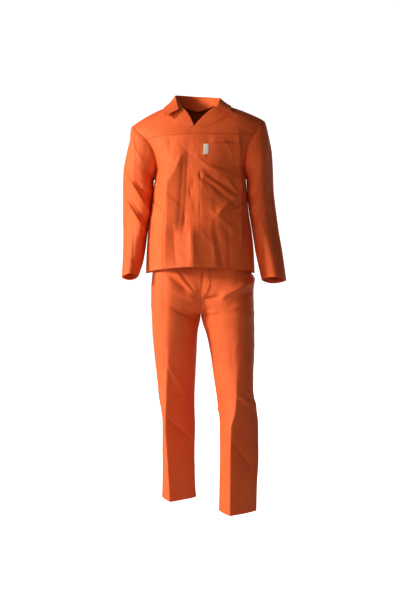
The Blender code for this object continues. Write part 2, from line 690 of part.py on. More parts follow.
def build_lower_pockets():
    """Each lies from near the front's middle to near its side seam, with a top that rises to the side."""
    for side, name in ((-1, "right"), (1, "left")):
        columns = front_columns(name)
        reach = (abs(s_at_x(LOWER_POCKET_LEVEL, side * LOWER_POCKET_IN_X)), LOWER_POCKET_REACH)
        middle_line = [abs(s) for s in columns(LOWER_POCKET_LEVEL)]
        inside = [k for k, s in enumerate(middle_line) if is_inside(s, reach)]
        tops = [place_at_z(z, LOWER_POCKET_REACH) for z in LOWER_POCKET_TOP_Z]
        rows = []
        for share in np.linspace(0, 1, POCKET_ROWS):
            row = []
            for s in (reach[0], *(middle_line[k] for k in inside), reach[1]):
                place = STRIP_START + (np.interp(s, reach, tops) - STRIP_START) * share
                if s not in reach:
                    s = abs(columns(place)[middle_line.index(s)])
                row.append(front_point(side * s, place, name, LOWER_POCKET_LIFT))
            rows.append(row)
        cloth(f"lower_pocket_{name}", [np.array(rows)])


def front_place(x, z, piece, lift):
    """The point of the front at a place seen from the front, found on its surface and moved out."""
    side = -1 if piece == "right" else 1
    s, place = side * FIRST_S, float(V_BOTTOM)
    for _ in range(PLACE_ROUNDS):
        point = torso_base(FRONT, s, place)
        ds = (torso_base(FRONT, s + STEP * side, place) - point) / (STEP * side)
        dp = (torso_base(FRONT, s, place + STEP) - point) / STEP
        jacobian = np.array([[ds[0], dp[0]], [ds[2], dp[2]]])
        move = np.linalg.lstsq(jacobian, np.array([x - point[0], z - point[2]]), rcond=None)[0]
        s = side * min(max(side * (s + move[0]), STEP), FARTHEST_S)
        place = min(max(place + move[1], 0.0), SHOULDER - 2 * STEP)
    return front_point(s, place, piece, lift)


def build_lapels():
    """The front edges turned back on the yokes beside the V."""
    for name, rows in (("right", RIGHT_LAPEL), ("left", LEFT_LAPEL)):
        grid = []
        for place in np.linspace(0, len(rows) - 1, LAPEL_ROWS):
            row = row_at(rows, place)
            line = []
            for t in np.linspace(0, 1, LAPEL_COLUMNS):
                x = row.roll_x + (row.edge_x - row.roll_x) * t
                z = row.roll_z + (row.edge_z - row.roll_z) * t
                line.append(front_place(x, z, name, LAPEL_LIFT + LAPEL_SWELL * t * (1 - t)))
            grid.append(line)
        cloth(f"lapel_{name}", [np.array(grid)])


def collar_line(row):
    """Across the collar: up from the seam, over the fold in an arc, and down to the outer edge."""
    seam = np.array([row.seam_x, row.seam_y, row.seam_z])
    fold = np.array([row.fold_x, row.fold_y, row.fold_z])
    edge = np.array([row.edge_x, row.edge_y, row.edge_z])
    rise = fold - seam
    fall = edge - fold
    stand = [seam + rise * up + fall * out for up, out in COLLAR_STAND_SHARES]
    leaf = [fold + fall * t - rise * COLLAR_SAG * math.sin(math.pi * t) for t in COLLAR_LEAF_SHARES]
    return stand + [fold + fall * COLLAR_ROLL] + leaf


def build_collar():
    """One piece round the neck, from the right corner to the left one."""
    rows = [*RIGHT_COLLAR[::-1], *LEFT_COLLAR[1:]]
    places = np.linspace(0, len(rows) - 1, COLLAR_COLUMNS + 1)
    cloth("collar", [np.array([collar_line(row_at(rows, place)) for place in places])])


def leg_base(rows, part, q, place):
    """A point of a leg: q runs from 0 at the outer seam over the crease at 0.5 to 1 at the inner seam.

    The back crease lies as far from the inner seam as the front one does from the outer seam.
    """
    row = row_at(rows, place)
    ridge_y = row.front_y if part == "front" else row.back_y
    inner_y = row.inner_back_y if part == "back" and place < CROTCH else row.inner_front_y
    crease_x = row.crease_x if part == "front" else row.outer_x + row.inner_x - row.crease_x
    if q < 0.5:
        angle = q * math.pi
        end_x, end_y = row.outer_x, row.seam_y
    else:
        angle = (1 - q) * math.pi
        end_x, end_y = row.inner_x, inner_y
    x = crease_x + (end_x - crease_x) * math.cos(angle)
    rise = (1 - row.crease) * math.sin(angle) + row.crease * (1 - math.cos(angle))
    y = end_y + (ridge_y - end_y) * rise
    if q > 0.5:
        joined = smooth(CROTCH - place)
        t = 2 * q - 1
        x += (crease_x + (end_x - crease_x) * t - x) * joined
        y += (ridge_y + (end_y - ridge_y) * t * t - y) * joined
    return np.array([x, y, row.z])


def leg_point(rows, part, q, place, extra=0.0):
    """A point of a leg's cloth with its folds."""
    point = leg_base(rows, part, q, place)
    folds = LEG_FRONT_FOLDS if part == "front" else LEG_BACK_FOLDS
    fade = smooth(min(q, 1 - q) / LEG_SEAM_CALM)
    side = -1 if rows is RIGHT_LEG else 1
    outward = side * (1 if part == "front" else -1)
    height = fold_height(folds, point[0], point[2]) * fade + extra
    return moved_out(lambda a, b: leg_base(rows, part, a, b), q, place, outward, height)


def build_trousers():
    """A front and a back panel for each leg, which meet at the middle seam above the crotch."""
    line = np.linspace(0, 1, LEG_COLUMNS + 1)
    above = LEG_LEVELS < CROTCH
    for name, rows, side in (("right", RIGHT_LEG, -1), ("left", LEFT_LEG, 1)):
        for part in ("front", "back"):
            grid = grid_of(lambda q, place: leg_point(rows, part, q, place), lambda place: line, LEG_LEVELS)
            grid[above, -1, 0] += side * SEAM_GAP
            grid = drawn_in(grid, ("first_row", "first_column", "last_column"))
            cloth(f"trouser_{part}_{name}", [grid])


def build_waistband():
    """A ring above the four panels, in line with their top edges."""
    share = np.linspace(0, 1, LEG_COLUMNS, endpoint=False)
    quarters = (
        (RIGHT_LEG, "front", share),
        (LEFT_LEG, "front", 1 - share),
        (LEFT_LEG, "back", share),
        (RIGHT_LEG, "back", 1 - share),
    )
    rings = []
    for level in (BAND_TOP_Z, (BAND_TOP_Z + BAND_BOTTOM_Z) / 2, BAND_BOTTOM_Z):
        ring = []
        for rows, part, line in quarters:
            for q in line:
                point = leg_base(rows, part, q, 0.0)
                point[2] = level
                ring.append(point)
        rings.append(ring)
    cloth("waistband", [np.array(rings)], ring=True)


def build_fly():
    """It lies on the left front beside the middle seam, and narrows in a curve to its foot."""
    rows = []
    for place in LEG_LEVELS:
        row = row_at(LEFT_LEG, place)
        if row.z < FLY_BOTTOM_Z:
            break
        rounded = smooth((row.z - FLY_BOTTOM_Z) / FLY_CURVE)
        width = FLY_WIDTH * (FLY_FOOT + (1 - FLY_FOOT) * rounded)
        share = width / (row.outer_x - row.inner_x)
        across = (1 - FLY_INSET, 1 - share / 2, 1 - share)
        rows.append([leg_point(LEFT_LEG, "front", q, place, FLY_LIFT) for q in across])
    cloth("fly_strip", [np.array(rows)])


def main():
    for old in list(bpy.data.objects):
        bpy.data.objects.remove(old, do_unlink=True)
    bpy.context.scene.collection.children.link(bpy.data.collections.new(COLLECTION))
    build_back()
    build_fronts()
    build_front_yokes()
    build_sleeve("sleeve_right", RIGHT_SLEEVE, -1)
    build_sleeve("sleeve_left", LEFT_SLEEVE, 1)
    build_chest_patches()
    build_lower_pockets()
    build_lapels()
    build_collar()
    build_trousers()
    build_waistband()
    build_fly()


main()
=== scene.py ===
"""The look of a worn two-piece work suit: an orange drill jacket and creased trousers in a plain studio.

Metres, +Z up. The front of the suit faces -Y and its own left side, as it is worn, is at +X. Each piece of
cloth is a grid of points on its cut's surface, moved out or in by the folds that are laid on it, and given
a wall.
"""

import logging
import math
from dataclasses import dataclass, field, replace
from enum import Enum
from typing import NamedTuple, Sequence

import bmesh
import bpy
import numpy as np
import numpy.typing as npt
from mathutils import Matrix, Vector


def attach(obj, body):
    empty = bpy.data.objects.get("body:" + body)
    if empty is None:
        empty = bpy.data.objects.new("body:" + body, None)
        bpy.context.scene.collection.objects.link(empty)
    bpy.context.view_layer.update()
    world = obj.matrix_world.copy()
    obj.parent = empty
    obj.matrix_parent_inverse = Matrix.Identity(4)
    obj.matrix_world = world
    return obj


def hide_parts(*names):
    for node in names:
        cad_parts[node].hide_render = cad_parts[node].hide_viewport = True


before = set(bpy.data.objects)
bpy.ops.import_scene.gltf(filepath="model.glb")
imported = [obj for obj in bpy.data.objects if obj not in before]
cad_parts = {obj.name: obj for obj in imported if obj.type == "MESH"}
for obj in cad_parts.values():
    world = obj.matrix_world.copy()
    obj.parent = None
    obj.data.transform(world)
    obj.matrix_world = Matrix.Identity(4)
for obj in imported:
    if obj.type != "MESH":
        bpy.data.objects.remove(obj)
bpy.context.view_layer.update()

Floats = npt.NDArray[np.float64]
Span = tuple[float, float]
Place = tuple[float, float, float]
Colour = tuple[float, float, float, float]
LOG = logging.getLogger("work_suit")

WALL = 0.0013
WELD = 1e-6
TINY = 1e-12
SMOOTH_ANGLE = math.radians(50)


class Edge(Enum):
    """One edge of a piece's grid of points."""

    FIRST_ROW = "first row"
    LAST_ROW = "last row"
    FIRST_COLUMN = "first column"
    LAST_COLUMN = "last column"


class Side(Enum):
    """The suit's own right or left side, with the sign of its X."""

    RIGHT = -1
    LEFT = 1

    @property
    def word(self) -> str:
        """The side as the names of pieces spell it."""
        return self.name.lower()


class Part(Enum):
    """The front or the back of a trouser leg."""

    FRONT = "front"
    BACK = "back"


class Held(Enum):
    HUNG = "hung"
    LAID = "laid"
    FOLDED = "folded"


class Fold(NamedTuple):
    """A soft fold seen from the front: height is out from the cloth, or into it below zero.

    It bows sideways in its middle, its end is spread times as wide as its start, and lean makes one
    flank steeper.
    """

    start_x: float
    start_z: float
    end_x: float
    end_z: float
    width: float
    height: float
    bow: float = 0.0
    spread: float = 1.0
    lean: float = 0.0


CREASE_BOW = 0.25
CREASE_SPREAD = (0.6, 1.6)
CREASE_LEAN = 0.5


@dataclass(frozen=True)
class CreaseField:
    """Small uneven creases scattered over a zone, all near one direction."""

    x: Span
    z: Span
    angle: float
    fan: float
    length: Span
    width: Span
    height: Span
    count: int
    seed: int

    def folds(self) -> list[Fold]:
        """The zone's creases.

        Returns:
            One fold for each crease, the same in every run.
        """
        dice = np.random.default_rng(self.seed)
        made = []
        for _ in range(self.count):
            x, z = dice.uniform(*self.x), dice.uniform(*self.z)
            turn = math.radians(self.angle + dice.uniform(-self.fan, self.fan))
            half = dice.uniform(*self.length) / 2
            dx, dz = math.cos(turn) * half, math.sin(turn) * half
            width = dice.uniform(*self.width)
            height = dice.uniform(*self.height) * dice.choice((-1.0, 1.0))
            bow = dice.uniform(-CREASE_BOW, CREASE_BOW) * half
            spread, lean = dice.uniform(*CREASE_SPREAD), dice.uniform(-CREASE_LEAN, CREASE_LEAN)
            made.append(Fold(x - dx, z - dz, x + dx, z + dz, width, height, bow, spread, lean))
        return made


FOLD_TAIL = 0.2
FOLD_EASE = 0.4
RIDGE_ROUND = 0.14
RIDGE_FALL = 1.45


def smooth(t: Floats | float) -> Floats:
    """Eases from 0 to 1 as t does."""
    t = np.clip(t, 0.0, 1.0)
    return t * t * (3 - 2 * t)


def relief(folds: Sequence[Fold], x: Floats, z: Floats) -> Floats:
    """How far a set of folds moves the cloth out.

    Args:
        folds: The folds, seen from the front.
        x: The places' X.
        z: The places' Z.

    Returns:
        The height at each place, in metres.
    """
    total = np.zeros_like(x)
    for fold in folds:
        dx, dz = fold.end_x - fold.start_x, fold.end_z - fold.start_z
        length = math.hypot(dx, dz)
        along = ((x - fold.start_x) * dx + (z - fold.start_z) * dz) / length**2
        inside = np.clip(along, 0, 1)
        across = ((x - fold.start_x) * dz - (z - fold.start_z) * dx) / length
        across = across - fold.bow * 4 * inside * (1 - inside)
        t = across / (fold.width * (1 + (fold.spread - 1) * inside))
        t = t * (1 + fold.lean * np.sign(t))
        profile = np.exp(-(np.hypot(t, RIDGE_ROUND) - RIDGE_ROUND) * RIDGE_FALL)
        ends = smooth((along + FOLD_TAIL) / FOLD_EASE) * smooth((1 + FOLD_TAIL - along) / FOLD_EASE)
        total += fold.height * ends * profile
    return total


def steady_curve(rows: Sequence[NamedTuple], places: Floats) -> Floats:
    """A table's columns at fractional places, on curves through its rows that don't overshoot.

    Args:
        rows: The table.
        places: Fractional row numbers.

    Returns:
        An array with the columns first and the shape of places after them.
    """
    table = np.array(rows, float)
    places = np.clip(places, 0.0, len(table) - 1.0)
    k = np.minimum(places.astype(int), len(table) - 2)
    t = (places - k)[..., None]
    before, a = table[np.maximum(k - 1, 0)], table[k]
    b, after = table[k + 1], table[np.minimum(k + 2, len(table) - 1)]

    def slope(first: Floats, second: Floats) -> Floats:
        """The slope between two steps that doesn't overshoot either."""
        same_way = first * second > 0
        return np.where(same_way, 2 * first * second / np.where(same_way, first + second, 1.0), 0.0)

    slope_a, slope_b = slope(a - before, b - a), slope(b - a, after - b)
    blend = a * (2 * t**3 - 3 * t**2 + 1) + slope_a * (t**3 - 2 * t**2 + t)
    blend += b * (3 * t**2 - 2 * t**3) + slope_b * (t**3 - t**2)
    return np.moveaxis(blend, -1, 0)


def outward_normals(points: Floats, heart: Floats) -> Floats:
    """Unit normals of a grid of points, turned away from the middle of the garment's hollow.

    Args:
        points: Rows by columns by 3.
        heart: Points in the middle of the hollow, broadcast against the grid.

    Returns:
        A normal for each point.
    """
    normals = np.cross(np.gradient(points, axis=1), np.gradient(points, axis=0))
    normals /= np.maximum(np.linalg.norm(normals, axis=-1, keepdims=True), TINY)
    return normals * np.sign(np.sum(normals * (points - heart)))


def run_lengths(points: Floats, axis: int) -> Floats:
    """The length along a grid's lines from their first point.

    Args:
        points: Rows by columns by 3.
        axis: 0 to follow the columns up, 1 to follow the rows across.

    Returns:
        Lengths in metres, rows by columns.
    """
    steps = np.linalg.norm(np.diff(points, axis=axis), axis=-1)
    total = np.cumsum(steps, axis=axis)
    return np.concatenate([np.zeros_like(total.take([0], axis=axis)), total], axis=axis)


def spread_between(first: Floats | float, last: Floats | float, count: int, rows: int) -> Floats:
    """Evenly spaced values from a first one to a last one, in each of some rows.

    Args:
        first: The first value, or one for each row.
        last: The last value, or one for each row.
        count: How many values a row has.
        rows: How many rows there are.

    Returns:
        The values, rows by columns.
    """
    share = np.linspace(0, 1, count)[None, :]
    first = np.broadcast_to(np.asarray(first, float), (rows,))[:, None]
    last = np.broadcast_to(np.asarray(last, float), (rows,))[:, None]
    return first + (last - first) * share


class Cut(NamedTuple):
    """A cut piece laid flat: its width and length, and its area where it isn't a rectangle."""

    flat: Span
    area: float | None = None


CUTS = {
    "jacket_back": Cut((0.54, 0.56), 0.250),
    "jacket_back_yoke": Cut((0.480, 0.200), 0.059),
    "jacket_front_right": Cut((0.28, 0.55), 0.127),
    "jacket_front_left": Cut((0.31, 0.55), 0.139),
    "jacket_front_yoke_right": Cut((0.235, 0.200), 0.030),
    "jacket_front_yoke_left": Cut((0.235, 0.200), 0.030),
    "sleeve_right": Cut((0.54, 0.60), 0.194),
    "sleeve_left": Cut((0.54, 0.60), 0.194),
    "lapel_right": Cut((0.068, 0.105), 0.0048),
    "lapel_left": Cut((0.068, 0.105), 0.0048),
    "lower_pocket_right": Cut((0.145, 0.262), 0.0315),
    "lower_pocket_left": Cut((0.145, 0.262), 0.0315),
    "front_strip": Cut((0.031, 0.466), 0.0133),
    "chest_pocket": Cut((0.130, 0.120), 0.0145),
    "blank_tab": Cut((0.018, 0.036)),
    "collar": Cut((0.530, 0.113), 0.037),
    "trouser_front_right": Cut((0.33, 1.05), 0.252),
    "trouser_front_left": Cut((0.33, 1.05), 0.252),
    "trouser_back_right": Cut((0.33, 1.05), 0.252),
    "trouser_back_left": Cut((0.33, 1.05), 0.252),
    "waistband": Cut((0.820, 0.038)),
    "fly_strip": Cut((0.029, 0.212), 0.0057),
}

HEM_GAP = 0.0021
HEM_START = 0.35
HEM_BEND = ((0.85, 0.05), (0.4, 0.35))
FEWEST_HEM_ROWS = 3
FAR_FROM_SEAMS = 0.2


@dataclass
class ClothPiece:
    """A cut piece of cloth as grids of points, with the seams and rows of stitches that it carries."""

    node: str
    grids: list[Floats]
    slot: str = "jacket_drill"
    held: Held = Held.HUNG
    rests_on: tuple[str, ...] = ()
    seams: dict[Edge, float] = field(default_factory=dict)
    hem_depth: float = 0.0
    heart: Floats = field(default_factory=lambda: np.zeros(3))
    wall: float = WALL
    weld: float = WELD
    name: str = field(init=False)
    nodes: tuple[str, ...] = field(init=False)
    flat: Span = field(init=False)
    area: float | None = field(init=False)

    def __post_init__(self) -> None:
        """Names the piece after its node and looks up its cut."""
        self.name, self.nodes = f"{self.node}_cloth", (self.node,)
        self.flat, self.area = CUTS[self.node]

    def turned_up(self, points: Floats) -> tuple[Floats, int]:
        """The grid with its first row's hem turned up inside.

        Args:
            points: The grid, whose first row is the hem's edge.

        Returns:
            The grid with the hem's rows before it, and how many those are.
        """
        if not self.hem_depth:
            return points, 0
        inward = -outward_normals(points, self.heart) * HEM_GAP
        spacing = float(np.mean(run_lengths(points, 0)[-1])) / (len(points) - 1)
        reach = self.hem_depth / spacing
        rows = []
        for place in np.linspace(reach, HEM_START, max(int(reach), FEWEST_HEM_ROWS)):
            k = min(int(place), len(points) - 2)
            t = place - k
            rows.append((points[k] + inward[k]) * (1 - t) + (points[k + 1] + inward[k + 1]) * t)
        down = points[0] - points[1]
        down /= np.linalg.norm(down, axis=-1, keepdims=True)
        for inside, below in HEM_BEND:
            rows.append(points[0] + inward[0] * inside + down * HEM_GAP * below)
        return np.concatenate([np.array(rows), points]), len(rows)

    def seam_maps(self, points: Floats, hem_rows: int) -> dict[str, Floats]:
        """The maps that the cloth's finish reads.

        Args:
            points: The grid with its hem.
            hem_rows: How many rows at the start are turned up.

        Returns:
            The weave's coordinates, the stitches' coordinates beside the side edges and the end edges, each
            rows by columns by 2, and the distance to the nearest seam, rows by columns.
        """
        across, up = run_lengths(points, 1), run_lengths(points, 0)
        up = up - up[hem_rows]
        gaps = {
            Edge.FIRST_COLUMN: across,
            Edge.LAST_COLUMN: across[:, -1:] - across,
            Edge.FIRST_ROW: np.abs(up),
            Edge.LAST_ROW: up[-1:] - up,
        }
        far = np.full(across.shape, FAR_FROM_SEAMS)
        sides, ends, near = far, far, far
        for edge, inset in self.seams.items():
            near = np.minimum(near, gaps[edge])
            if edge in (Edge.FIRST_COLUMN, Edge.LAST_COLUMN):
                sides = np.where(np.abs(gaps[edge] - inset) < np.abs(sides), gaps[edge] - inset, sides)
            else:
                ends = np.where(np.abs(gaps[edge] - inset) < np.abs(ends), gaps[edge] - inset, ends)
        middle = across[:, across.shape[1] // 2][:, None]
        return {
            "weave": np.stack([across - middle, up], axis=-1),
            "side_stitch": np.stack([up, sides], axis=-1),
            "end_stitch": np.stack([across - middle, ends], axis=-1),
            "seam_near": near,
        }

    def build(self, finish: bpy.types.Material) -> bpy.types.Object:
        """Args:
            finish: Its material.

        Returns:
            The piece, a closed wall of cloth.
        """
        mesh = bpy.data.meshes.new(self.name)
        verts, faces, near = [], [], []
        uvs = {name: [] for name in ("weave", "side_stitch", "end_stitch")}
        for grid in self.grids:
            points, hem_rows = self.turned_up(grid)
            maps = self.seam_maps(points, hem_rows)
            index = np.arange(points[..., 0].size).reshape(points.shape[:2]) + len(verts)
            corners = np.stack([index[:-1, :-1], index[:-1, 1:], index[1:, 1:], index[1:, :-1]], axis=-1)
            corners = corners.reshape(-1, 4)
            for name in uvs:
                uvs[name].append(maps[name].reshape(-1, 2)[corners.ravel() - len(verts)])
            near.append(maps["seam_near"].ravel())
            verts += points.reshape(-1, 3).tolist()
            faces += corners.tolist()
        mesh.from_pydata(verts, [], faces)
        for name, values in uvs.items():
            mesh.uv_layers.new(name=name).data.foreach_set("uv", np.concatenate(values).ravel())
        mesh.attributes.new("seam_near", "FLOAT", "POINT").data.foreach_set("value", np.concatenate(near))
        body = bmesh.new()
        body.from_mesh(mesh)
        bmesh.ops.remove_doubles(body, verts=body.verts, dist=self.weld)
        bmesh.ops.recalc_face_normals(body, faces=body.faces)
        body.to_mesh(mesh)
        body.free()
        piece = bpy.data.objects.new(self.name, mesh)
        bpy.context.scene.collection.objects.link(piece)
        mesh.materials.append(finish)
        solid = piece.modifiers.new("Wall", "SOLIDIFY")
        solid.thickness = self.wall
        solid.offset = 0
        bpy.ops.object.select_all(action="DESELECT")
        piece.select_set(True)
        bpy.context.view_layer.objects.active = piece
        bpy.ops.object.modifier_apply(modifier=solid.name)
        bpy.ops.object.shade_smooth_by_angle(angle=SMOOTH_ANGLE)
        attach(piece, "root")
        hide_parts(*self.nodes)
        LOG.info("%s: %d faces", self.name, len(piece.data.polygons))
        return piece


class Level(NamedTuple):
    """One level of the jacket's front or back: its middle, and its edge at the side seam or armhole."""

    mid_y: float
    mid_z: float
    right_in_x: float
    left_in_x: float
    right_x: float
    left_x: float
    edge_y: float
    right_z: float
    left_z: float
    turn: float


FRONT = [
    Level(-0.152, -0.553, -0.012, -0.012, -0.186, 0.203, 0.000, -0.581, -0.580, 90),
    Level(-0.151, -0.500, -0.012, -0.012, -0.183, 0.199, 0.000, -0.500, -0.500, 90),
    Level(-0.150, -0.430, -0.012, -0.012, -0.178, 0.192, 0.000, -0.430, -0.430, 90),
    Level(-0.149, -0.353, -0.012, -0.012, -0.165, 0.180, 0.000, -0.353, -0.353, 90),
    Level(-0.149, -0.281, -0.012, -0.012, -0.159, 0.1745, 0.000, -0.281, -0.281, 90),
    Level(-0.147, -0.225, -0.012, -0.012, -0.152, 0.168, 0.000, -0.225, -0.222, 90),
    Level(-0.144, -0.193, -0.012, -0.012, -0.150, 0.166, -0.042, -0.196, -0.190, 76),
    Level(-0.139, -0.158, -0.012, -0.012, -0.153, 0.169, -0.064, -0.163, -0.155, 66),
    Level(-0.131, -0.122, -0.012, -0.012, -0.166, 0.180, -0.071, -0.132, -0.120, 58),
    Level(-0.119, -0.089, -0.012, -0.012, -0.186, 0.197, -0.067, -0.104, -0.090, 52),
    Level(-0.107, -0.067, -0.012, -0.012, -0.207, 0.213, -0.055, -0.086, -0.069, 48),
    Level(-0.090, -0.030, -0.028, 0.018, -0.221, 0.225, -0.036, -0.070, -0.050, 42),
    Level(-0.062, 0.003, -0.052, 0.051, -0.230, 0.231, -0.016, -0.060, -0.040, 34),
    Level(0.004, 0.022, -0.072, 0.072, -0.234, 0.234, 0.004, -0.054, -0.034, 26),
]
BACK = [
    Level(0.150, -0.572, 0.008, 0.008, -0.186, 0.203, 0.000, -0.581, -0.580, 90),
    Level(0.146, -0.500, 0.008, 0.008, -0.183, 0.199, 0.000, -0.500, -0.500, 90),
    Level(0.140, -0.430, 0.008, 0.008, -0.178, 0.192, 0.000, -0.430, -0.430, 90),
    Level(0.134, -0.353, 0.008, 0.008, -0.165, 0.180, 0.000, -0.353, -0.353, 90),
    Level(0.131, -0.281, 0.008, 0.008, -0.159, 0.1745, 0.000, -0.281, -0.281, 90),
    Level(0.130, -0.225, 0.008, 0.008, -0.152, 0.168, 0.000, -0.225, -0.222, 90),
    Level(0.131, -0.188, 0.006, 0.006, -0.151, 0.167, 0.046, -0.194, -0.188, 78),
    Level(0.129, -0.148, 0.004, 0.004, -0.155, 0.171, 0.070, -0.158, -0.150, 68),
    Level(0.122, -0.106, 0.002, 0.002, -0.169, 0.183, 0.077, -0.124, -0.112, 60),
    Level(0.112, -0.074, 0.001, 0.001, -0.189, 0.200, 0.071, -0.097, -0.082, 54),
    Level(0.096, -0.036, 0.000, 0.000, -0.209, 0.215, 0.057, -0.079, -0.063, 48),
    Level(0.070, 0.006, 0.000, 0.000, -0.223, 0.226, 0.039, -0.066, -0.048, 42),
    Level(0.050, 0.017, -0.046, 0.046, -0.231, 0.232, 0.022, -0.058, -0.039, 34),
    Level(0.004, 0.022, -0.072, 0.072, -0.234, 0.234, 0.004, -0.054, -0.034, 26),
]
UNDERARM, YOKE, V_BOTTOM, NECK, SHOULDER = 5, 9, 10, 11, 13
ARMHOLE_LEVELS = (UNDERARM, 5.8, 6.6, 7.4, 8.2, YOKE, V_BOTTOM, NECK, 11.5, 12, 12.5, SHOULDER)


class Lap(NamedTuple):
    """The left front's edge, seen from the front."""

    z: float
    x: float


LAP_EDGE = [Lap(-0.60, -0.029), Lap(-0.42, -0.028), Lap(-0.25, -0.022), Lap(-0.09, -0.018), Lap(0.0, -0.012)]


class Arm(NamedTuple):
    """One ring of a sleeve: outer and inner points seen from the front, and place and depth along Y."""

    outer_x: float
    outer_z: float
    inner_x: float
    inner_z: float
    mid_y: float
    depth: float


RIGHT_SLEEVE = [
    Arm(0.2430, -0.106, 0.1592, -0.248, 0.004, 0.080),
    Arm(0.2570, -0.158, 0.1602, -0.270, 0.008, 0.080),
    Arm(0.2670, -0.216, 0.1612, -0.294, 0.012, 0.078),
    Arm(0.2690, -0.274, 0.1652, -0.328, 0.015, 0.075),
    Arm(0.2690, -0.336, 0.1700, -0.361, 0.014, 0.072),
    Arm(0.2690, -0.390, 0.1760, -0.397, 0.009, 0.069),
    Arm(0.2680, -0.440, 0.1825, -0.440, 0.001, 0.067),
    Arm(0.2680, -0.489, 0.1872, -0.482, -0.010, 0.065),
    Arm(0.2690, -0.539, 0.1955, -0.534, -0.022, 0.063),
    Arm(0.2720, -0.594, 0.2120, -0.588, -0.034, 0.062),
]
LEFT_SLEEVE = [
    Arm(0.2530, -0.092, 0.1738, -0.243, 0.004, 0.080),
    Arm(0.2650, -0.152, 0.1756, -0.268, 0.008, 0.080),
    Arm(0.2690, -0.216, 0.1776, -0.300, 0.012, 0.078),
    Arm(0.2710, -0.274, 0.1812, -0.332, 0.015, 0.075),
    Arm(0.2770, -0.332, 0.1848, -0.361, 0.014, 0.072),
    Arm(0.2840, -0.386, 0.1905, -0.397, 0.008, 0.069),
    Arm(0.2920, -0.443, 0.1980, -0.447, -0.002, 0.067),
    Arm(0.3010, -0.497, 0.2052, -0.497, -0.014, 0.065),
    Arm(0.3080, -0.550, 0.2160, -0.550, -0.026, 0.063),
    Arm(0.3150, -0.604, 0.2275, -0.602, -0.036, 0.062),
]


class Turn(NamedTuple):
    """One station round the collar: where it is sewn on, where it folds over, and its outer edge."""

    seam_x: float
    seam_y: float
    seam_z: float
    fold_x: float
    fold_y: float
    fold_z: float
    edge_x: float
    edge_y: float
    edge_z: float


RIGHT_COLLAR = [
    Turn(0.000, 0.062, 0.014, 0.000, 0.074, 0.060, 0.000, 0.104, 0.006),
    Turn(-0.040, 0.050, 0.021, -0.050, 0.056, 0.061, -0.070, 0.080, 0.012),
    Turn(-0.064, 0.010, 0.026, -0.081, 0.006, 0.055, -0.112, 0.012, 0.015),
    Turn(-0.062, -0.034, 0.019, -0.078, -0.038, 0.039, -0.120, -0.044, 0.003),
    Turn(-0.0575, -0.068, 0.005, -0.0675, -0.085, -0.005, -0.115, -0.101, -0.031),
]
LEFT_COLLAR = [
    Turn(0.000, 0.062, 0.014, 0.000, 0.074, 0.060, 0.000, 0.104, 0.006),
    Turn(0.040, 0.050, 0.021, 0.050, 0.056, 0.055, 0.070, 0.080, 0.013),
    Turn(0.064, 0.010, 0.026, 0.081, 0.004, 0.045, 0.112, 0.010, 0.018),
    Turn(0.062, -0.034, 0.020, 0.078, -0.038, 0.036, 0.118, -0.040, 0.010),
    Turn(0.0565, -0.066, 0.007, 0.0660, -0.081, 0.005, 0.113, -0.098, -0.018),
]


class Lapel(NamedTuple):
    """One line across a turned-back front edge, from the roll to the lapel's edge, seen from the front."""

    roll_x: float
    roll_z: float
    edge_x: float
    edge_z: float


RIGHT_LAPEL = [
    Lapel(-0.0160, -0.0630, -0.0240, -0.0680),
    Lapel(-0.0290, -0.0330, -0.0560, -0.0600),
    Lapel(-0.0440, -0.0100, -0.0850, -0.0480),
    Lapel(-0.0590, 0.0030, -0.1040, -0.0330),
]
LEFT_LAPEL = [
    Lapel(-0.0060, -0.0630, 0.0040, -0.0680),
    Lapel(0.0190, -0.0330, 0.0440, -0.0580),
    Lapel(0.0390, -0.0140, 0.0760, -0.0440),
    Lapel(0.0570, -0.0010, 0.1000, -0.0260),
]

FRONT_FOLDS = [
    Fold(-0.098, -0.20, -0.112, -0.55, 0.026, 0.016),
    Fold(-0.036, -0.15, -0.050, -0.43, 0.054, -0.0155, lean=0.72),
    Fold(0.034, -0.232, 0.145, -0.30, 0.020, -0.0095),
    Fold(0.034, -0.200, 0.120, -0.240, 0.016, 0.004),
    Fold(0.140, -0.30, 0.070, -0.37, 0.015, 0.008),
    Fold(-0.024, -0.42, -0.022, -0.56, 0.024, 0.010),
    Fold(-0.056, -0.165, -0.098, -0.27, 0.018, 0.006),
    Fold(0.060, -0.42, 0.090, -0.56, 0.022, -0.007),
    Fold(0.150, -0.24, 0.150, -0.48, 0.016, 0.007),
]
BACK_FOLDS = [
    Fold(-0.110, -0.16, -0.085, -0.50, 0.020, 0.0095),
    Fold(0.120, -0.15, 0.100, -0.47, 0.020, 0.0095),
    Fold(-0.050, -0.24, -0.040, -0.55, 0.022, -0.008),
    Fold(0.055, -0.22, 0.050, -0.54, 0.022, -0.008),
    Fold(-0.060, -0.34, 0.075, -0.36, 0.016, 0.007),
]
SLEEVE_FOLDS = [
    Fold(0.264, -0.222, 0.166, -0.381, 0.011, 0.0090, bow=0.005, lean=0.55),
    Fold(0.262, -0.306, 0.189, -0.432, 0.010, 0.0085, bow=0.002, lean=0.55),
    Fold(0.215, -0.258, 0.162, -0.322, 0.013, -0.0070),
    Fold(0.232, -0.322, 0.178, -0.405, 0.009, -0.0050),
    Fold(0.222, -0.120, 0.226, -0.262, 0.012, 0.0045, lean=0.5),
]
LEG_FRONT_FOLDS = [
    Fold(-0.110, -0.58, -0.035, -0.64, 0.014, -0.007),
    Fold(0.080, -0.66, 0.190, -0.61, 0.014, 0.0095),
    Fold(0.020, -0.665, 0.080, -0.665, 0.012, -0.007),
    Fold(0.030, -0.715, 0.065, -0.712, 0.012, 0.007),
    Fold(-0.090, -0.70, -0.010, -0.74, 0.014, -0.0055),
]
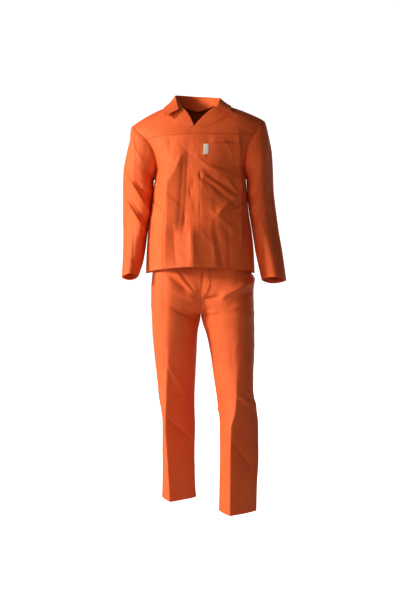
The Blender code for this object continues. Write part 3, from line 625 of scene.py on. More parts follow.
LEG_BACK_FOLDS = [
    Fold(-0.100, -0.70, -0.010, -0.76, 0.016, -0.008),
    Fold(0.110, -0.70, 0.020, -0.76, 0.016, -0.008),
    Fold(-0.150, -0.78, -0.030, -0.80, 0.014, 0.007),
    Fold(0.180, -0.78, 0.050, -0.80, 0.014, 0.007),
]


class Leg(NamedTuple):
    """One level of a trouser leg: its seams, its front and back creases, and how sharp the creases are."""

    z: float
    outer_x: float
    inner_x: float
    crease_x: float
    seam_y: float
    front_y: float
    back_y: float
    inner_front_y: float
    inner_back_y: float
    crease: float


RIGHT_LEG = [
    Leg(-0.4690, -0.136, 0.0100, -0.0630, 0.000, -0.098, 0.090, -0.108, 0.098, 0.00),
    Leg(-0.5200, -0.152, 0.0100, -0.0720, 0.000, -0.106, 0.104, -0.112, 0.108, 0.00),
    Leg(-0.5750, -0.163, 0.0100, -0.0820, 0.002, -0.112, 0.115, -0.115, 0.113, 0.00),
    Leg(-0.6200, -0.167, 0.0100, -0.0890, 0.002, -0.117, 0.124, -0.112, 0.110, 0.00),
    Leg(-0.6700, -0.169, 0.0100, -0.0940, 0.004, -0.116, 0.130, -0.100, 0.094, 0.00),
    Leg(-0.7120, -0.168, 0.0098, -0.0970, 0.006, -0.114, 0.128, -0.060, 0.055, 0.00),
    Leg(-0.7330, -0.167, 0.0086, -0.0980, 0.008, -0.112, 0.127, 0.003, 0.003, 0.00),
    Leg(-0.7580, -0.166, 0.0052, -0.0990, 0.010, -0.110, 0.126, 0.007, 0.007, 0.00),
    Leg(-0.7900, -0.165, -0.0010, -0.1010, 0.013, -0.106, 0.125, 0.010, 0.010, 0.02),
    Leg(-0.8670, -0.159, -0.0050, -0.1050, 0.024, -0.092, 0.128, 0.022, 0.022, 0.10),
    Leg(-0.9560, -0.150, -0.0100, -0.1110, 0.037, -0.072, 0.136, 0.036, 0.036, 0.36),
    Leg(-1.0450, -0.142, -0.0130, -0.1140, 0.050, -0.052, 0.144, 0.050, 0.050, 0.52),
    Leg(-1.0900, -0.135, -0.0120, -0.1165, 0.057, -0.042, 0.148, 0.057, 0.057, 0.55),
    Leg(-1.1350, -0.131, -0.0110, -0.1170, 0.064, -0.033, 0.152, 0.064, 0.064, 0.58),
    Leg(-1.2550, -0.132, -0.0130, -0.1110, 0.081, -0.010, 0.164, 0.081, 0.081, 0.64),
    Leg(-1.3620, -0.133, -0.0110, -0.1055, 0.096, 0.010, 0.178, 0.096, 0.096, 0.68),
    Leg(-1.4180, -0.135, -0.0070, -0.1030, 0.100, 0.014, 0.184, 0.100, 0.100, 0.70),
]
LEFT_LEG = [
    Leg(-0.4690, 0.156, 0.0100, 0.0830, 0.000, -0.098, 0.090, -0.108, 0.098, 0.00),
    Leg(-0.5200, 0.172, 0.0100, 0.0920, 0.000, -0.106, 0.104, -0.112, 0.108, 0.00),
    Leg(-0.5750, 0.190, 0.0100, 0.1020, 0.002, -0.113, 0.115, -0.115, 0.113, 0.00),
    Leg(-0.6050, 0.203, 0.0100, 0.1100, 0.002, -0.118, 0.121, -0.113, 0.112, 0.00),
    Leg(-0.6500, 0.200, 0.0100, 0.1180, 0.002, -0.121, 0.130, -0.106, 0.103, 0.00),
    Leg(-0.7120, 0.201, 0.0102, 0.1250, 0.000, -0.121, 0.126, -0.060, 0.055, 0.00),
    Leg(-0.7330, 0.202, 0.0114, 0.1270, -0.002, -0.121, 0.123, 0.003, 0.003, 0.00),
    Leg(-0.7580, 0.202, 0.0176, 0.1280, -0.005, -0.121, 0.119, -0.004, -0.004, 0.00),
    Leg(-0.7900, 0.202, 0.0290, 0.1300, -0.008, -0.122, 0.116, -0.010, -0.010, 0.02),
    Leg(-0.8670, 0.202, 0.0450, 0.1330, -0.020, -0.126, 0.100, -0.022, -0.022, 0.06),
    Leg(-0.9460, 0.198, 0.0560, 0.1355, -0.034, -0.134, 0.080, -0.036, -0.036, 0.16),
    Leg(-1.0290, 0.200, 0.0680, 0.1330, -0.048, -0.144, 0.060, -0.050, -0.050, 0.46),
    Leg(-1.0710, 0.210, 0.0730, 0.1280, -0.055, -0.150, 0.050, -0.056, -0.056, 0.55),
    Leg(-1.1130, 0.215, 0.0770, 0.1165, -0.062, -0.156, 0.041, -0.062, -0.062, 0.58),
    Leg(-1.2230, 0.216, 0.0780, 0.1130, -0.077, -0.168, 0.020, -0.077, -0.077, 0.64),
    Leg(-1.3320, 0.210, 0.0760, 0.1120, -0.092, -0.178, -0.004, -0.092, -0.092, 0.68),
    Leg(-1.4180, 0.208, 0.0740, 0.1115, -0.100, -0.184, -0.014, -0.100, -0.100, 0.70),
]
CROTCH = 6

SIDE_DROP = 1.4
LAP_LIFT = 0.0014
LAP_UNDER_X = 0.010
LAP_FADE = 0.030
LAP_END = 0.5
SEAM_CALM = 0.22
LEG_SEAM_CALM = 0.15
CREASE_CALM = 0.06
FOLD_FADE = 2.0
CREASE_FADE = 0.6
SEAM_GROOVE = 0.0012
GROOVE_REACH = 0.02
ON_MIDDLE = 1e-9
SLOPE_STEP = 1e-3

FRONT_DETAIL = [
    Fold(0.008, -0.231, 0.132, -0.318, 0.014, 0.0048, bow=-0.004, lean=0.55),
    Fold(0.012, -0.246, 0.128, -0.334, 0.012, -0.0042, bow=-0.004),
    Fold(0.106, -0.250, 0.142, -0.298, 0.007, 0.0050),
    Fold(0.136, -0.318, 0.090, -0.360, 0.008, -0.0055, lean=-0.3),
    Fold(-0.054, -0.170, -0.070, -0.420, 0.015, -0.0042, lean=0.2),
    Fold(0.007, -0.226, 0.010, -0.246, 0.005, -0.0040),
    Fold(0.048, -0.1215, 0.096, -0.1235, 0.0035, 0.0030, lean=0.8),
    Fold(-0.016, -0.430, -0.014, -0.560, 0.012, 0.0040, lean=0.4),
    Fold(-0.086, -0.420, -0.076, -0.540, 0.014, -0.0040),
    Fold(0.052, -0.360, 0.118, -0.420, 0.012, 0.0040),
    Fold(0.045, -0.420, 0.064, -0.556, 0.013, 0.0020),
    Fold(0.108, -0.400, 0.112, -0.556, 0.012, -0.0035),
    Fold(-0.146, -0.230, -0.100, -0.300, 0.010, 0.0030),
    Fold(0.142, -0.105, 0.148, -0.300, 0.016, 0.0080, lean=-0.3),
    Fold(-0.150, -0.300, -0.120, -0.400, 0.010, -0.0030),
]
BACK_DETAIL = [
    Fold(-0.140, -0.160, -0.060, -0.330, 0.014, 0.0050, bow=0.006, lean=0.4),
    Fold(0.140, -0.170, 0.075, -0.330, 0.014, 0.0050, bow=-0.006, lean=-0.4),
    Fold(-0.090, -0.360, 0.030, -0.385, 0.010, -0.0040),
    Fold(-0.020, -0.410, 0.110, -0.395, 0.011, 0.0045),
    Fold(0.010, -0.260, 0.020, -0.560, 0.020, 0.0040, bow=0.008),
    Fold(-0.125, -0.400, -0.115, -0.560, 0.014, -0.0040),
    Fold(0.140, -0.380, 0.130, -0.560, 0.014, -0.0040),
]
LEFT_SLEEVE_HOLLOW = [Fold(0.256, -0.130, 0.284, -0.560, 0.040, -0.0110, lean=0.3)]
SLEEVE_DETAIL = [
    Fold(0.252, -0.230, 0.196, -0.318, 0.004, 0.0020, bow=0.003, lean=0.5),
    Fold(0.250, -0.322, 0.200, -0.410, 0.004, 0.0018, lean=0.5),
    Fold(0.206, -0.425, 0.204, -0.520, 0.011, 0.0050, lean=0.3),
    Fold(0.226, -0.400, 0.228, -0.545, 0.010, -0.0030),
    Fold(0.238, -0.100, 0.176, -0.178, 0.008, -0.0045),
    Fold(0.226, -0.130, 0.168, -0.220, 0.007, 0.0035),
    Fold(0.274, -0.470, 0.205, -0.560, 0.009, -0.0015),
]
LEG_FRONT_DETAIL = [
    Fold(-0.108, -0.570, -0.034, -0.636, 0.009, -0.0045, lean=0.3),
    Fold(-0.078, -0.572, -0.020, -0.642, 0.007, 0.0040),
    Fold(-0.062, -0.574, -0.016, -0.634, 0.006, -0.0040),
    Fold(0.020, -0.580, 0.003, -0.662, 0.007, -0.0040),
    Fold(0.012, -0.668, 0.082, -0.654, 0.008, -0.0055, lean=-0.3),
    Fold(0.075, -0.664, 0.200, -0.598, 0.015, 0.0060, lean=0.3),
    Fold(0.110, -0.690, 0.190, -0.640, 0.010, -0.0040),
    Fold(0.024, -0.703, 0.064, -0.709, 0.007, -0.0045),
    Fold(-0.118, -0.690, -0.018, -0.712, 0.009, -0.0035),
    Fold(-0.120, -0.560, -0.122, -0.760, 0.016, -0.0040),
    Fold(0.030, -0.730, 0.090, -0.900, 0.016, 0.0040, bow=0.006),
    Fold(0.132, -1.000, 0.206, -1.062, 0.013, 0.0060, lean=0.5),
    Fold(0.172, -0.985, 0.202, -1.050, 0.008, 0.0040),
    Fold(-0.130, -0.830, -0.095, -0.960, 0.011, -0.0035),
    Fold(-0.118, -0.880, -0.050, -1.010, 0.012, 0.0030),
    Fold(-0.110, -1.100, -0.035, -1.180, 0.012, -0.0030),
    Fold(0.115, -1.160, 0.190, -1.260, 0.013, -0.0030),
]
LEG_BACK_DETAIL = [
    Fold(-0.130, -0.620, -0.020, -0.720, 0.014, 0.0045, lean=0.3),
    Fold(0.160, -0.620, 0.020, -0.720, 0.014, 0.0045, lean=-0.3),
    Fold(-0.150, -0.730, -0.030, -0.760, 0.010, -0.0040),
    Fold(0.190, -0.730, 0.045, -0.764, 0.010, -0.0040),
    Fold(-0.140, -1.020, -0.030, -1.060, 0.012, 0.0050, lean=0.4),
    Fold(-0.135, -1.070, -0.030, -1.090, 0.010, -0.0040),
    Fold(0.200, -1.020, 0.075, -1.070, 0.012, 0.0050, lean=-0.4),
    Fold(0.205, -1.080, 0.080, -1.100, 0.010, -0.0040),
    Fold(-0.110, -1.150, -0.050, -1.330, 0.014, -0.0030),
    Fold(0.150, -1.150, 0.120, -1.340, 0.014, -0.0030),
]

FRONT_CREASES = [
    CreaseField(
        x=(-0.15, 0.17), z=(-0.52, -0.14), angle=-70, fan=35, length=(0.05, 0.12),
        width=(0.005, 0.012), height=(0.0005, 0.0016), count=46, seed=3,
    ),
    CreaseField(
        x=(0.03, 0.16), z=(-0.33, -0.20), angle=-30, fan=18, length=(0.05, 0.11),
        width=(0.004, 0.009), height=(0.0006, 0.0018), count=16, seed=5,
    ),
    CreaseField(
        x=(-0.16, -0.08), z=(-0.26, -0.14), angle=55, fan=20, length=(0.04, 0.09),
        width=(0.005, 0.010), height=(0.0006, 0.0018), count=10, seed=8,
    ),
]
YOKE_CREASES = [
    CreaseField(
        x=(-0.20, -0.06), z=(-0.09, 0.0), angle=25, fan=20, length=(0.05, 0.12),
        width=(0.006, 0.012), height=(0.0004, 0.0014), count=12, seed=13,
    ),
    CreaseField(
        x=(0.06, 0.20), z=(-0.08, 0.0), angle=-25, fan=20, length=(0.05, 0.12),
        width=(0.006, 0.012), height=(0.0004, 0.0014), count=12, seed=14,
    ),
]
BACK_CREASES = [
    CreaseField(
        x=(-0.17, 0.18), z=(-0.54, -0.12), angle=80, fan=35, length=(0.05, 0.14),
        width=(0.006, 0.013), height=(0.0006, 0.0018), count=46, seed=21,
    ),
    CreaseField(
        x=(-0.15, 0.16), z=(-0.42, -0.28), angle=8, fan=18, length=(0.06, 0.13),
        width=(0.005, 0.010), height=(0.0008, 0.0022), count=18, seed=22,
    ),
]
SEED_STEP = 3
SLEEVE_CREASES = [
    CreaseField(
        x=(0.17, 0.27), z=(-0.36, -0.12), angle=-55, fan=22, length=(0.04, 0.1),
        width=(0.004, 0.010), height=(0.0004, 0.0012), count=14, seed=40,
    ),
    CreaseField(
        x=(0.18, 0.31), z=(-0.60, -0.36), angle=-35, fan=30, length=(0.04, 0.09),
        width=(0.004, 0.010), height=(0.0004, 0.0012), count=14, seed=50,
    ),
]
LEG_CREASES = [
    CreaseField(
        x=(-0.16, 0.0), z=(-0.80, -0.56), angle=-30, fan=35, length=(0.04, 0.10),
        width=(0.004, 0.010), height=(0.0006, 0.002), count=18, seed=61,
    ),
    CreaseField(
        x=(0.02, 0.19), z=(-0.80, -0.56), angle=30, fan=35, length=(0.04, 0.10),
        width=(0.004, 0.010), height=(0.0006, 0.002), count=18, seed=62,
    ),
    CreaseField(
        x=(-0.15, 0.21), z=(-1.38, -0.80), angle=80, fan=25, length=(0.06, 0.16),
        width=(0.006, 0.012), height=(0.0005, 0.0016), count=40, seed=63,
    ),
    CreaseField(
        x=(-0.15, 0.21), z=(-1.18, -1.00), angle=15, fan=25, length=(0.04, 0.08),
        width=(0.005, 0.010), height=(0.0006, 0.0018), count=14, seed=64,
    ),
]


def lap_edge_x(z: Floats) -> Floats:
    """Where the left front's edge lies at a height."""
    return np.interp(z, [lap.z for lap in LAP_EDGE], [lap.x for lap in LAP_EDGE])


def draped(large: Sequence[Fold], small: Sequence[Fold], base: Floats, s: Floats, place: Floats) -> Floats:
    """How far folds and creases move the torso's cloth out, fading at its seams and shoulders.

    Args:
        large: The large folds.
        small: The smaller folds and creases.
        base: The smooth torso's points.
        s: Their places across it.
        place: Their levels.

    Returns:
        The height at each point.
    """
    x, z, to_seam = base[..., 0], base[..., 2], 1 - np.abs(s)
    calm = smooth(to_seam / SEAM_CALM) * smooth((SHOULDER - place) / FOLD_FADE)
    fine = smooth(to_seam / CREASE_CALM) * smooth((SHOULDER - place) / CREASE_FADE)
    return relief(large, x, z) * calm + relief(small, x, z) * fine


@dataclass
class Torso:
    """The surface that the jacket's fronts, back and yokes are cut from, with its creases."""

    front_relief: list[Fold] = field(default_factory=list)
    back_relief: list[Fold] = field(default_factory=list)
    height_samples: int = 600
    search_rounds: int = 14
    search_start: float = 0.2
    search_step: Span = (0.2, 1.0)
    search_edge: float = 0.98
    flattest: float = 1e-9

    def __post_init__(self) -> None:
        """Gathers the smaller folds and creases once."""
        self.front_relief += FRONT_DETAIL
        self.back_relief += BACK_DETAIL
        for zone in FRONT_CREASES + YOKE_CREASES:
            self.front_relief += zone.folds()
        for zone in BACK_CREASES:
            self.back_relief += zone.folds()

    @staticmethod
    def bare(rows: Sequence[Level], s: Floats, place: Floats) -> Floats:
        """Points of the smooth torso.

        Args:
            rows: The front's or the back's table.
            s: From -1 at the right side over the middle to 1.
            place: The level in the table.

        Returns:
            Points, with X, Y and Z on the last axis.
        """
        level = Level(*steady_curve(rows, place))
        turn, reach = np.radians(level.turn), np.abs(s)
        out = np.sin(turn * reach) / np.sin(turn)
        round_off = (1 - np.cos(turn * reach)) / (1 - np.cos(turn))
        in_x = np.where(s < 0, level.right_in_x, level.left_in_x)
        edge_x = np.where(s < 0, level.right_x, level.left_x)
        edge_z = np.where(s < 0, level.right_z, level.left_z)
        x = in_x + (edge_x - in_x) * out
        y = level.mid_y + (level.edge_y - level.mid_y) * round_off
        z = level.mid_z + (edge_z - level.mid_z) * reach**SIDE_DROP
        return np.stack([x, y, z], axis=-1)

    def normals(self, rows: Sequence[Level], s: Floats, place: Floats) -> Floats:
        """The smooth torso's outward unit normals.

        Args:
            rows: The front's or the back's table.
            s: Places across it.
            place: Levels in it.

        Returns:
            A normal for each point.
        """
        ds = self.bare(rows, s + SLOPE_STEP, place) - self.bare(rows, s - SLOPE_STEP, place)
        dp = self.bare(rows, s, place + SLOPE_STEP) - self.bare(rows, s, place - SLOPE_STEP)
        normals = np.cross(ds, dp)
        normals /= np.maximum(np.linalg.norm(normals, axis=-1, keepdims=True), TINY)
        return normals if rows is FRONT else -normals

    @staticmethod
    def groove(s: Floats) -> Floats:
        """How far the cloth dips at a side seam or armhole."""
        return SEAM_GROOVE * np.exp(-(1 - np.abs(s)) / GROOVE_REACH)

    @staticmethod
    def lap_lift(x: Floats, z: Floats, side: Side) -> Floats:
        """How far a front moves near the lap, where the left one lies over the right one.

        Args:
            x: The places' X.
            z: The places' Z.
            side: Which front it is.

        Returns:
            The height: out for the left front and in for the right one.
        """
        if side is Side.LEFT:
            return LAP_LIFT * smooth((LAP_UNDER_X + LAP_FADE - x) / LAP_FADE)
        return -LAP_LIFT * smooth((x - lap_edge_x(z) + LAP_FADE) / LAP_FADE)

    def front(self, s: Floats, place: Floats, side: Side, extra: Floats | float = 0.0) -> Floats:
        """Points of the front's cloth.

        Args:
            s: From -1 at the right side over the middle to 1.
            place: The level in the front's table.
            side: Which front it is, for the lap.
            extra: How much further out the points lie.

        Returns:
            Points, with X, Y and Z on the last axis.
        """
        base = self.bare(FRONT, s, place)
        height = draped(FRONT_FOLDS, self.front_relief, base, s, place)
        lift = self.lap_lift(base[..., 0], base[..., 2], side)
        height += lift * smooth(V_BOTTOM + LAP_END - place) + extra - self.groove(s)
        return base + self.normals(FRONT, s, place) * height[..., None]

    def back(self, s: Floats, place: Floats, extra: Floats | float = 0.0) -> Floats:
        """Points of the back's cloth.

        Args:
            s: From -1 at the right side over the middle to 1.
            place: The level in the back's table.
            extra: How much further out the points lie.

        Returns:
            Points, with X, Y and Z on the last axis.
        """
        base = self.bare(BACK, s, place)
        height = draped(BACK_FOLDS, self.back_relief, base, s, place) + extra - self.groove(s)
        return base + self.normals(BACK, s, place) * height[..., None]

    @staticmethod
    def s_at_x(place: Floats, x: Floats | float) -> Floats:
        """Which s of the front lies at an x, at levels below the neck.

        Args:
            place: Levels in the front's table.
            x: The places' X.

        Returns:
            The s of each place.
        """
        level = Level(*steady_curve(FRONT, place))
        turn = np.radians(level.turn)
        right_share = np.clip((x - level.right_in_x) / (level.right_x - level.right_in_x), 0, 1)
        left_share = np.clip((x - level.left_in_x) / (level.left_x - level.left_in_x), 0, 1)
        right_s = -np.arcsin(right_share * np.sin(turn)) / turn
        left_s = np.arcsin(left_share * np.sin(turn)) / turn
        return np.where(x < level.right_in_x, right_s, left_s)

    def lap_s(self, place: Floats) -> Floats:
        """Where the left front's edge lies across the front."""
        return self.s_at_x(place, lap_edge_x(Level(*steady_curve(FRONT, place)).mid_z))

    def place_at_z(self, z: Floats | float, s: float) -> Floats:
        """Which level of the front lies at a height, at one s.

        Args:
            z: The heights.
            s: The place across the front.

        Returns:
            The level of each height.
        """
        places = np.linspace(0, SHOULDER, self.height_samples)
        heights = self.bare(FRONT, np.full_like(places, s), places)[:, 2]
        return np.interp(z, heights, places)

    def place_of(self, x: Floats, z: Floats, side: Side) -> tuple[Floats, Floats]:
        """Which s and level lie at places seen from the front, found step by step.

        Args:
            x: The places' X.
            z: The places' Z.
            side: Which half they lie on.

        Returns:
            Their s and their levels.
        """
        sign = side.value
        most_s, most_place = self.search_step
        s = np.full_like(x, self.search_start * sign)
        place = np.full_like(x, float(V_BOTTOM))
        for _ in range(self.search_rounds):
            point = self.bare(FRONT, s, place)
            ds = (self.bare(FRONT, s + SLOPE_STEP * sign, place) - point) / (SLOPE_STEP * sign)
            dp = (self.bare(FRONT, s, place + SLOPE_STEP) - point) / SLOPE_STEP
            off_x, off_z = x - point[..., 0], z - point[..., 2]
            size = ds[..., 0] * dp[..., 2] - dp[..., 0] * ds[..., 2]
            size = np.where(np.abs(size) < self.flattest, self.flattest, size)
            s = s + np.clip((off_x * dp[..., 2] - dp[..., 0] * off_z) / size, -most_s, most_s)
            place = place + np.clip((ds[..., 0] * off_z - off_x * ds[..., 2]) / size, -most_place, most_place)
            s = sign * np.clip(sign * s, SLOPE_STEP, self.search_edge)
            place = np.clip(place, 0.0, SHOULDER - 2 * SLOPE_STEP)
        return s, place


class Drape(NamedTuple):
    """How a sleeve hangs: its wrap round the jacket, and its front folds' strength, drop and hollow."""

    wrap: float = 0.012
    share: float = 1.0
    drop: float = 0.0
    hollow: tuple[Fold, ...] = ()


class Patch(NamedTuple):
    """A rectangle sewn on the left front, as seen from the front, with the s where its heights are taken."""

    node: str
    x: Span
    z: Span
    at_s: float
    rows: int
    columns: int
    lift: float
    gape: float = 0.0


CHEST_POCKET = Patch("chest_pocket", (0.0390, 0.1430), (-0.2400, -0.1260), 0.4, 52, 48, 0.00125, 0.0018)
BLANK_TAB = Patch("blank_tab", (0.0190, 0.0365), (-0.1640, -0.1290), 0.2, 18, 10, 0.0018)


@dataclass
class Jacket:
    """The jacket: fronts, back, yokes, sleeves, collar, lapels, pockets and tab."""

    cloth: bpy.types.Material
    tab_cloth: bpy.types.Material
    torso: Torso = field(default_factory=Torso)
    front_columns: int = 92
    back_columns: int = 164
    panel_rows: int = 190
    yoke_rows: int = 54
    yoke_columns: int = 84
    yoke_weld: float = 2e-5
    ledge: float = 0.00135
    ledge_reach: float = 0.10
    ledge_end: float = 0.45
    ledge_ease: float = 0.4
    seam_dip: float = 0.0003
    dip_reach: float = 0.25
    dip_ease: float = 0.2
    curl: float = 0.0012
    curl_reach: float = 0.03
    curl_wave: float = 0.4
    curl_turns: float = 3.1
    hem_depth: float = 0.022
    hem_stitch: float = 0.019
    stitch_inset: float = 0.0075
    edge_stitch: float = 0.002
    sleeve_stitch: float = 0.004
    patch_stitch: float = 0.003
    mouth_stitch: float = 0.016
    patch_swell: float = 0.0005
    patch_rim: float = 0.012
    patch_middle: float = 0.3
    lower_pocket_in_x: float = 0.115
    lower_pocket_in_place: float = 1.5
    lower_pocket_reach: float = 0.93
    lower_pocket_foot: float = 0.06
    lower_pocket_top_z: Span = (-0.362, -0.318)
    lower_pocket_rows: int = 96
    lower_pocket_columns: int = 44
    lower_pocket_lift: float = 0.00125
    lower_pocket_gape: float = 0.0012
    strip_ends: Span = (0.04, 0.12)
    strip_inset: float = 0.014
    strip_edge_x: float = 0.0055
    strip_columns: int = 16
    strip_lift: float = 0.0012
    strip_sink: float = 0.0003
    strip_wall: float = 0.0007
    cuff_lean: float = 0.22
    cuff_flatness: float = 0.6
    head_puff: float = 0.006
    head_power: float = 0.6
    right_drape: Drape = Drape()
    left_drape: Drape = Drape(share=0.45, drop=0.020, hollow=tuple(LEFT_SLEEVE_HOLLOW))
    back_drop: float = 0.03
    wrap_ease: float = 2.5
    wrap_end: float = 7.5
    face_ease: float = 1.25
    sleeve_columns: int = 150
    sleeve_rows: int = 140
    head_rows: int = 14
    lapel_rows: int = 60
    lapel_columns: int = 34
    lapel_lift: float = 0.0026
    lapel_sink: float = 0.0015
    lapel_wall: float = 0.0008
    roll_radius: float = 0.0022
    roll_width: float = 1.3
    roll_turns: tuple[int, ...] = (0, 30, 60, 90, 120, 150)
    collar_stations: int = 180
    collar_stitch: float = 0.006
    stand_columns: int = 20
    stand_foot: float = -0.25
    stand_top: float = 0.93
    stand_bend: float = 0.03
    crest_drop: float = 0.012
    crest_out: float = 0.015
    leaf_columns: int = 34
    leaf_start: float = 0.05
    leaf_arch: float = 0.06

    def build(self) -> list[bpy.types.Object]:
        """Builds every piece of the jacket, in the order in which it is sewn.

        Returns:
            The pieces.
        """
        pieces = [self.back(), self.back_yoke()]
        for side in Side:
            pieces += [self.front(side), self.front_yoke(side), self.sleeve(side)]
            pieces += [self.lapel(side), self.lower_pocket(side)]
        pieces += [self.front_strip(), self.chest_pocket(), self.tab(), self.collar()]
        return pieces

    def edge_dip(self, place: Floats) -> Floats:
        """How far a panel goes in where the yoke's edge lies over it."""
        return -self.seam_dip * smooth((place - YOKE + self.dip_reach) / self.dip_ease)

    def ledge_lift(self, place: Floats) -> Floats:
        """How far the yoke's lower edge stands out over the panel below it."""
        return self.ledge * smooth((YOKE + self.ledge_end - place) / self.ledge_ease)

    def lap_curl(self, s: Floats, place: Floats) -> Floats:
        """How far the left front's free edge curls out, unevenly up its length.

        Args:
            s: The front's places, whose first column is the free edge.
            place: Their levels.

        Returns:
            The height at each place.
        """
        wave = (1 - self.curl_wave) + self.curl_wave * np.sin(place * self.curl_turns)
        return self.curl * np.exp(-(s - s[:, :1]) / self.curl_reach) * wave

    def front(self, side: Side) -> bpy.types.Object:
        """One front, from the hem to the yoke seam.

        Args:
            side: Which front.

        Returns:
            The piece.
        """
        places = np.linspace(0, YOKE, self.panel_rows)
        first = self.torso.lap_s(places) if side is Side.LEFT else self.torso.s_at_x(places, LAP_UNDER_X)
        s = spread_between(first, float(side.value), self.front_columns, len(places))
        place = np.broadcast_to(places[:, None], s.shape)
        curl = self.lap_curl(s, place) if side is Side.LEFT else 0.0
        return ClothPiece(
            node=f"jacket_front_{side.word}",
            grids=[self.torso.front(s, place, side, self.edge_dip(place) + curl)],
            seams={Edge.LAST_COLUMN: self.stitch_inset, Edge.FIRST_ROW: self.hem_stitch},
            hem_depth=self.hem_depth,
        ).build(self.cloth)

    def yoke_seams(self) -> dict[Edge, float]:
        """The stitched edges of a yoke."""
        armhole_and_shoulder = {edge: self.stitch_inset for edge in (Edge.LAST_COLUMN, Edge.LAST_ROW)}
        return {Edge.FIRST_ROW: self.edge_stitch, **armhole_and_shoulder}

    def front_yoke(self, side: Side) -> bpy.types.Object:
        """One front yoke, from its seam to the shoulder; the two meet at the lap as far as the V's bottom.

        Args:
            side: Which yoke.

        Returns:
            The piece.
        """
        places = np.linspace(YOKE - self.ledge_reach, SHOULDER, self.yoke_rows)
        lapped = smooth((V_BOTTOM - places) / (V_BOTTOM - YOKE))
        first = self.torso.lap_s(np.minimum(places, V_BOTTOM)) * lapped + side.value * ON_MIDDLE
        s = spread_between(first, float(side.value), self.yoke_columns, len(places))
        place = np.broadcast_to(places[:, None], s.shape)
        return ClothPiece(
            node=f"jacket_front_yoke_{side.word}",
            grids=[self.torso.front(s, place, side, self.ledge_lift(place))],
            seams=self.yoke_seams(),
        ).build(self.cloth)

    def back(self) -> bpy.types.Object:
        """The back, from the hem to the yoke seam.

        Returns:
            The piece.
        """
        places = np.linspace(0, YOKE, self.panel_rows)
        s = spread_between(-1.0, 1.0, self.back_columns, len(places))
        place = np.broadcast_to(places[:, None], s.shape)
        sides = {edge: self.stitch_inset for edge in (Edge.FIRST_COLUMN, Edge.LAST_COLUMN)}
        return ClothPiece(
            node="jacket_back",
            grids=[self.torso.back(s, place, self.edge_dip(place))],
            seams={**sides, Edge.FIRST_ROW: self.hem_stitch},
            hem_depth=self.hem_depth,
        ).build(self.cloth)

    def back_yoke(self) -> bpy.types.Object:
        """The back yoke: its halves share the middle line up to the neckline and part round the neck.

        Returns:
            The piece.
        """
        places = np.linspace(YOKE - self.ledge_reach, SHOULDER, self.yoke_rows)
        halves = []
        for side in Side:
            s = spread_between(side.value * ON_MIDDLE, float(side.value), self.yoke_columns, len(places))
            place = np.broadcast_to(places[:, None], s.shape)
            halves.append(self.torso.back(s, place, self.ledge_lift(place)))
        return ClothPiece(
            node="jacket_back_yoke",
            grids=halves,
            seams=self.yoke_seams(),
            weld=self.yoke_weld,
        ).build(self.cloth)

    def armhole(self, side: Side, turns: Floats) -> Floats:
        """The armhole, from the underarm up the front to the shoulder's tip and down the back.

        Args:
            side: Which armhole.
            turns: Places round it, from 0 to 1.

        Returns:
            A point at each place.
        """
        steps = 2 * (len(ARMHOLE_LEVELS) - 1)
        index = turns * steps
        going_up = index <= steps / 2
        up_again = np.where(going_up, index, steps - index)
        place = np.interp(up_again, np.arange(len(ARMHOLE_LEVELS)), ARMHOLE_LEVELS)
        s = np.full_like(place, float(side.value))
        before, behind = (
            self.torso.bare(rows, s, place) - self.torso.normals(rows, s, place) * SEAM_GROOVE
            for rows in (FRONT, BACK)
        )
        return np.where(going_up[:, None], before, behind)

    def sleeve_ring(self, side: Side, places: Floats, turns: Floats) -> Floats:
        """Points of a sleeve's cloth.

        Args:
            side: Which sleeve.
            places: Levels in its table, from 0 to the cuff.
            turns: Places round it from 0 at its inner side over the front to 1.

        Returns:
            Rows by columns by 3.
        """
        rows = RIGHT_SLEEVE if side is Side.RIGHT else LEFT_SLEEVE
        drape = self.right_drape if side is Side.RIGHT else self.left_drape
        outer_x, outer_z, inner_x, inner_z, mid_y, depth = (c[:, None] for c in steady_curve(rows, places))
        to_cuff = (places[:, None] / (len(rows) - 1)) ** 2
        lean, flat = depth * self.cuff_lean * to_cuff, self.cuff_flatness * to_cuff
        angle = (turns * 2 * math.pi)[None, :]
        cos, sin = np.cos(angle), np.sin(angle)
        sin = sin * (1 - flat + flat * np.abs(sin))
        ease = smooth(places / self.wrap_ease) * smooth((self.wrap_end - places) / self.wrap_ease)
        wrap = drape.wrap * ease[:, None]
        x = (outer_x + inner_x) / 2 + (inner_x - outer_x) / 2 * cos - wrap * sin
        y = mid_y - depth * sin
        z = (outer_z + inner_z) / 2 + (inner_z - outer_z) / 2 * cos + lean * sin
        middle = np.stack([(outer_x + inner_x) / 2, mid_y, (outer_z + inner_z) / 2], axis=-1)
        points = np.stack([x, y, z], axis=-1)
        out = points - middle
        out /= np.linalg.norm(out, axis=-1, keepdims=True)
        folds = SLEEVE_FOLDS + SLEEVE_DETAIL
        on_front = relief(self.sleeve_creases(side, True), x, z)
        on_front += relief(folds, x, z + drape.drop) * drape.share + relief(drape.hollow, x, z)
        on_back = relief(folds + self.sleeve_creases(side, False), x, z + self.back_drop)
        on_front, on_back = on_front * smooth(sin * self.face_ease), on_back * smooth(-sin * self.face_ease)
        points = points + out * (on_front + on_back)[..., None]
        points[..., 0] *= side.value
        return points

    @staticmethod
    def sleeve_creases(side: Side, on_front: bool) -> list[Fold]:
        """The small creases of one face of a sleeve, steep ones above the elbow and flatter ones below.

        Args:
            side: Which sleeve.
            on_front: Whether it is the front face.

        Returns:
            The creases.
        """
        shift = side.value * SEED_STEP + on_front
        upper, lower = (replace(zone, seed=zone.seed + shift).folds() for zone in SLEEVE_CREASES)
        return upper + lower

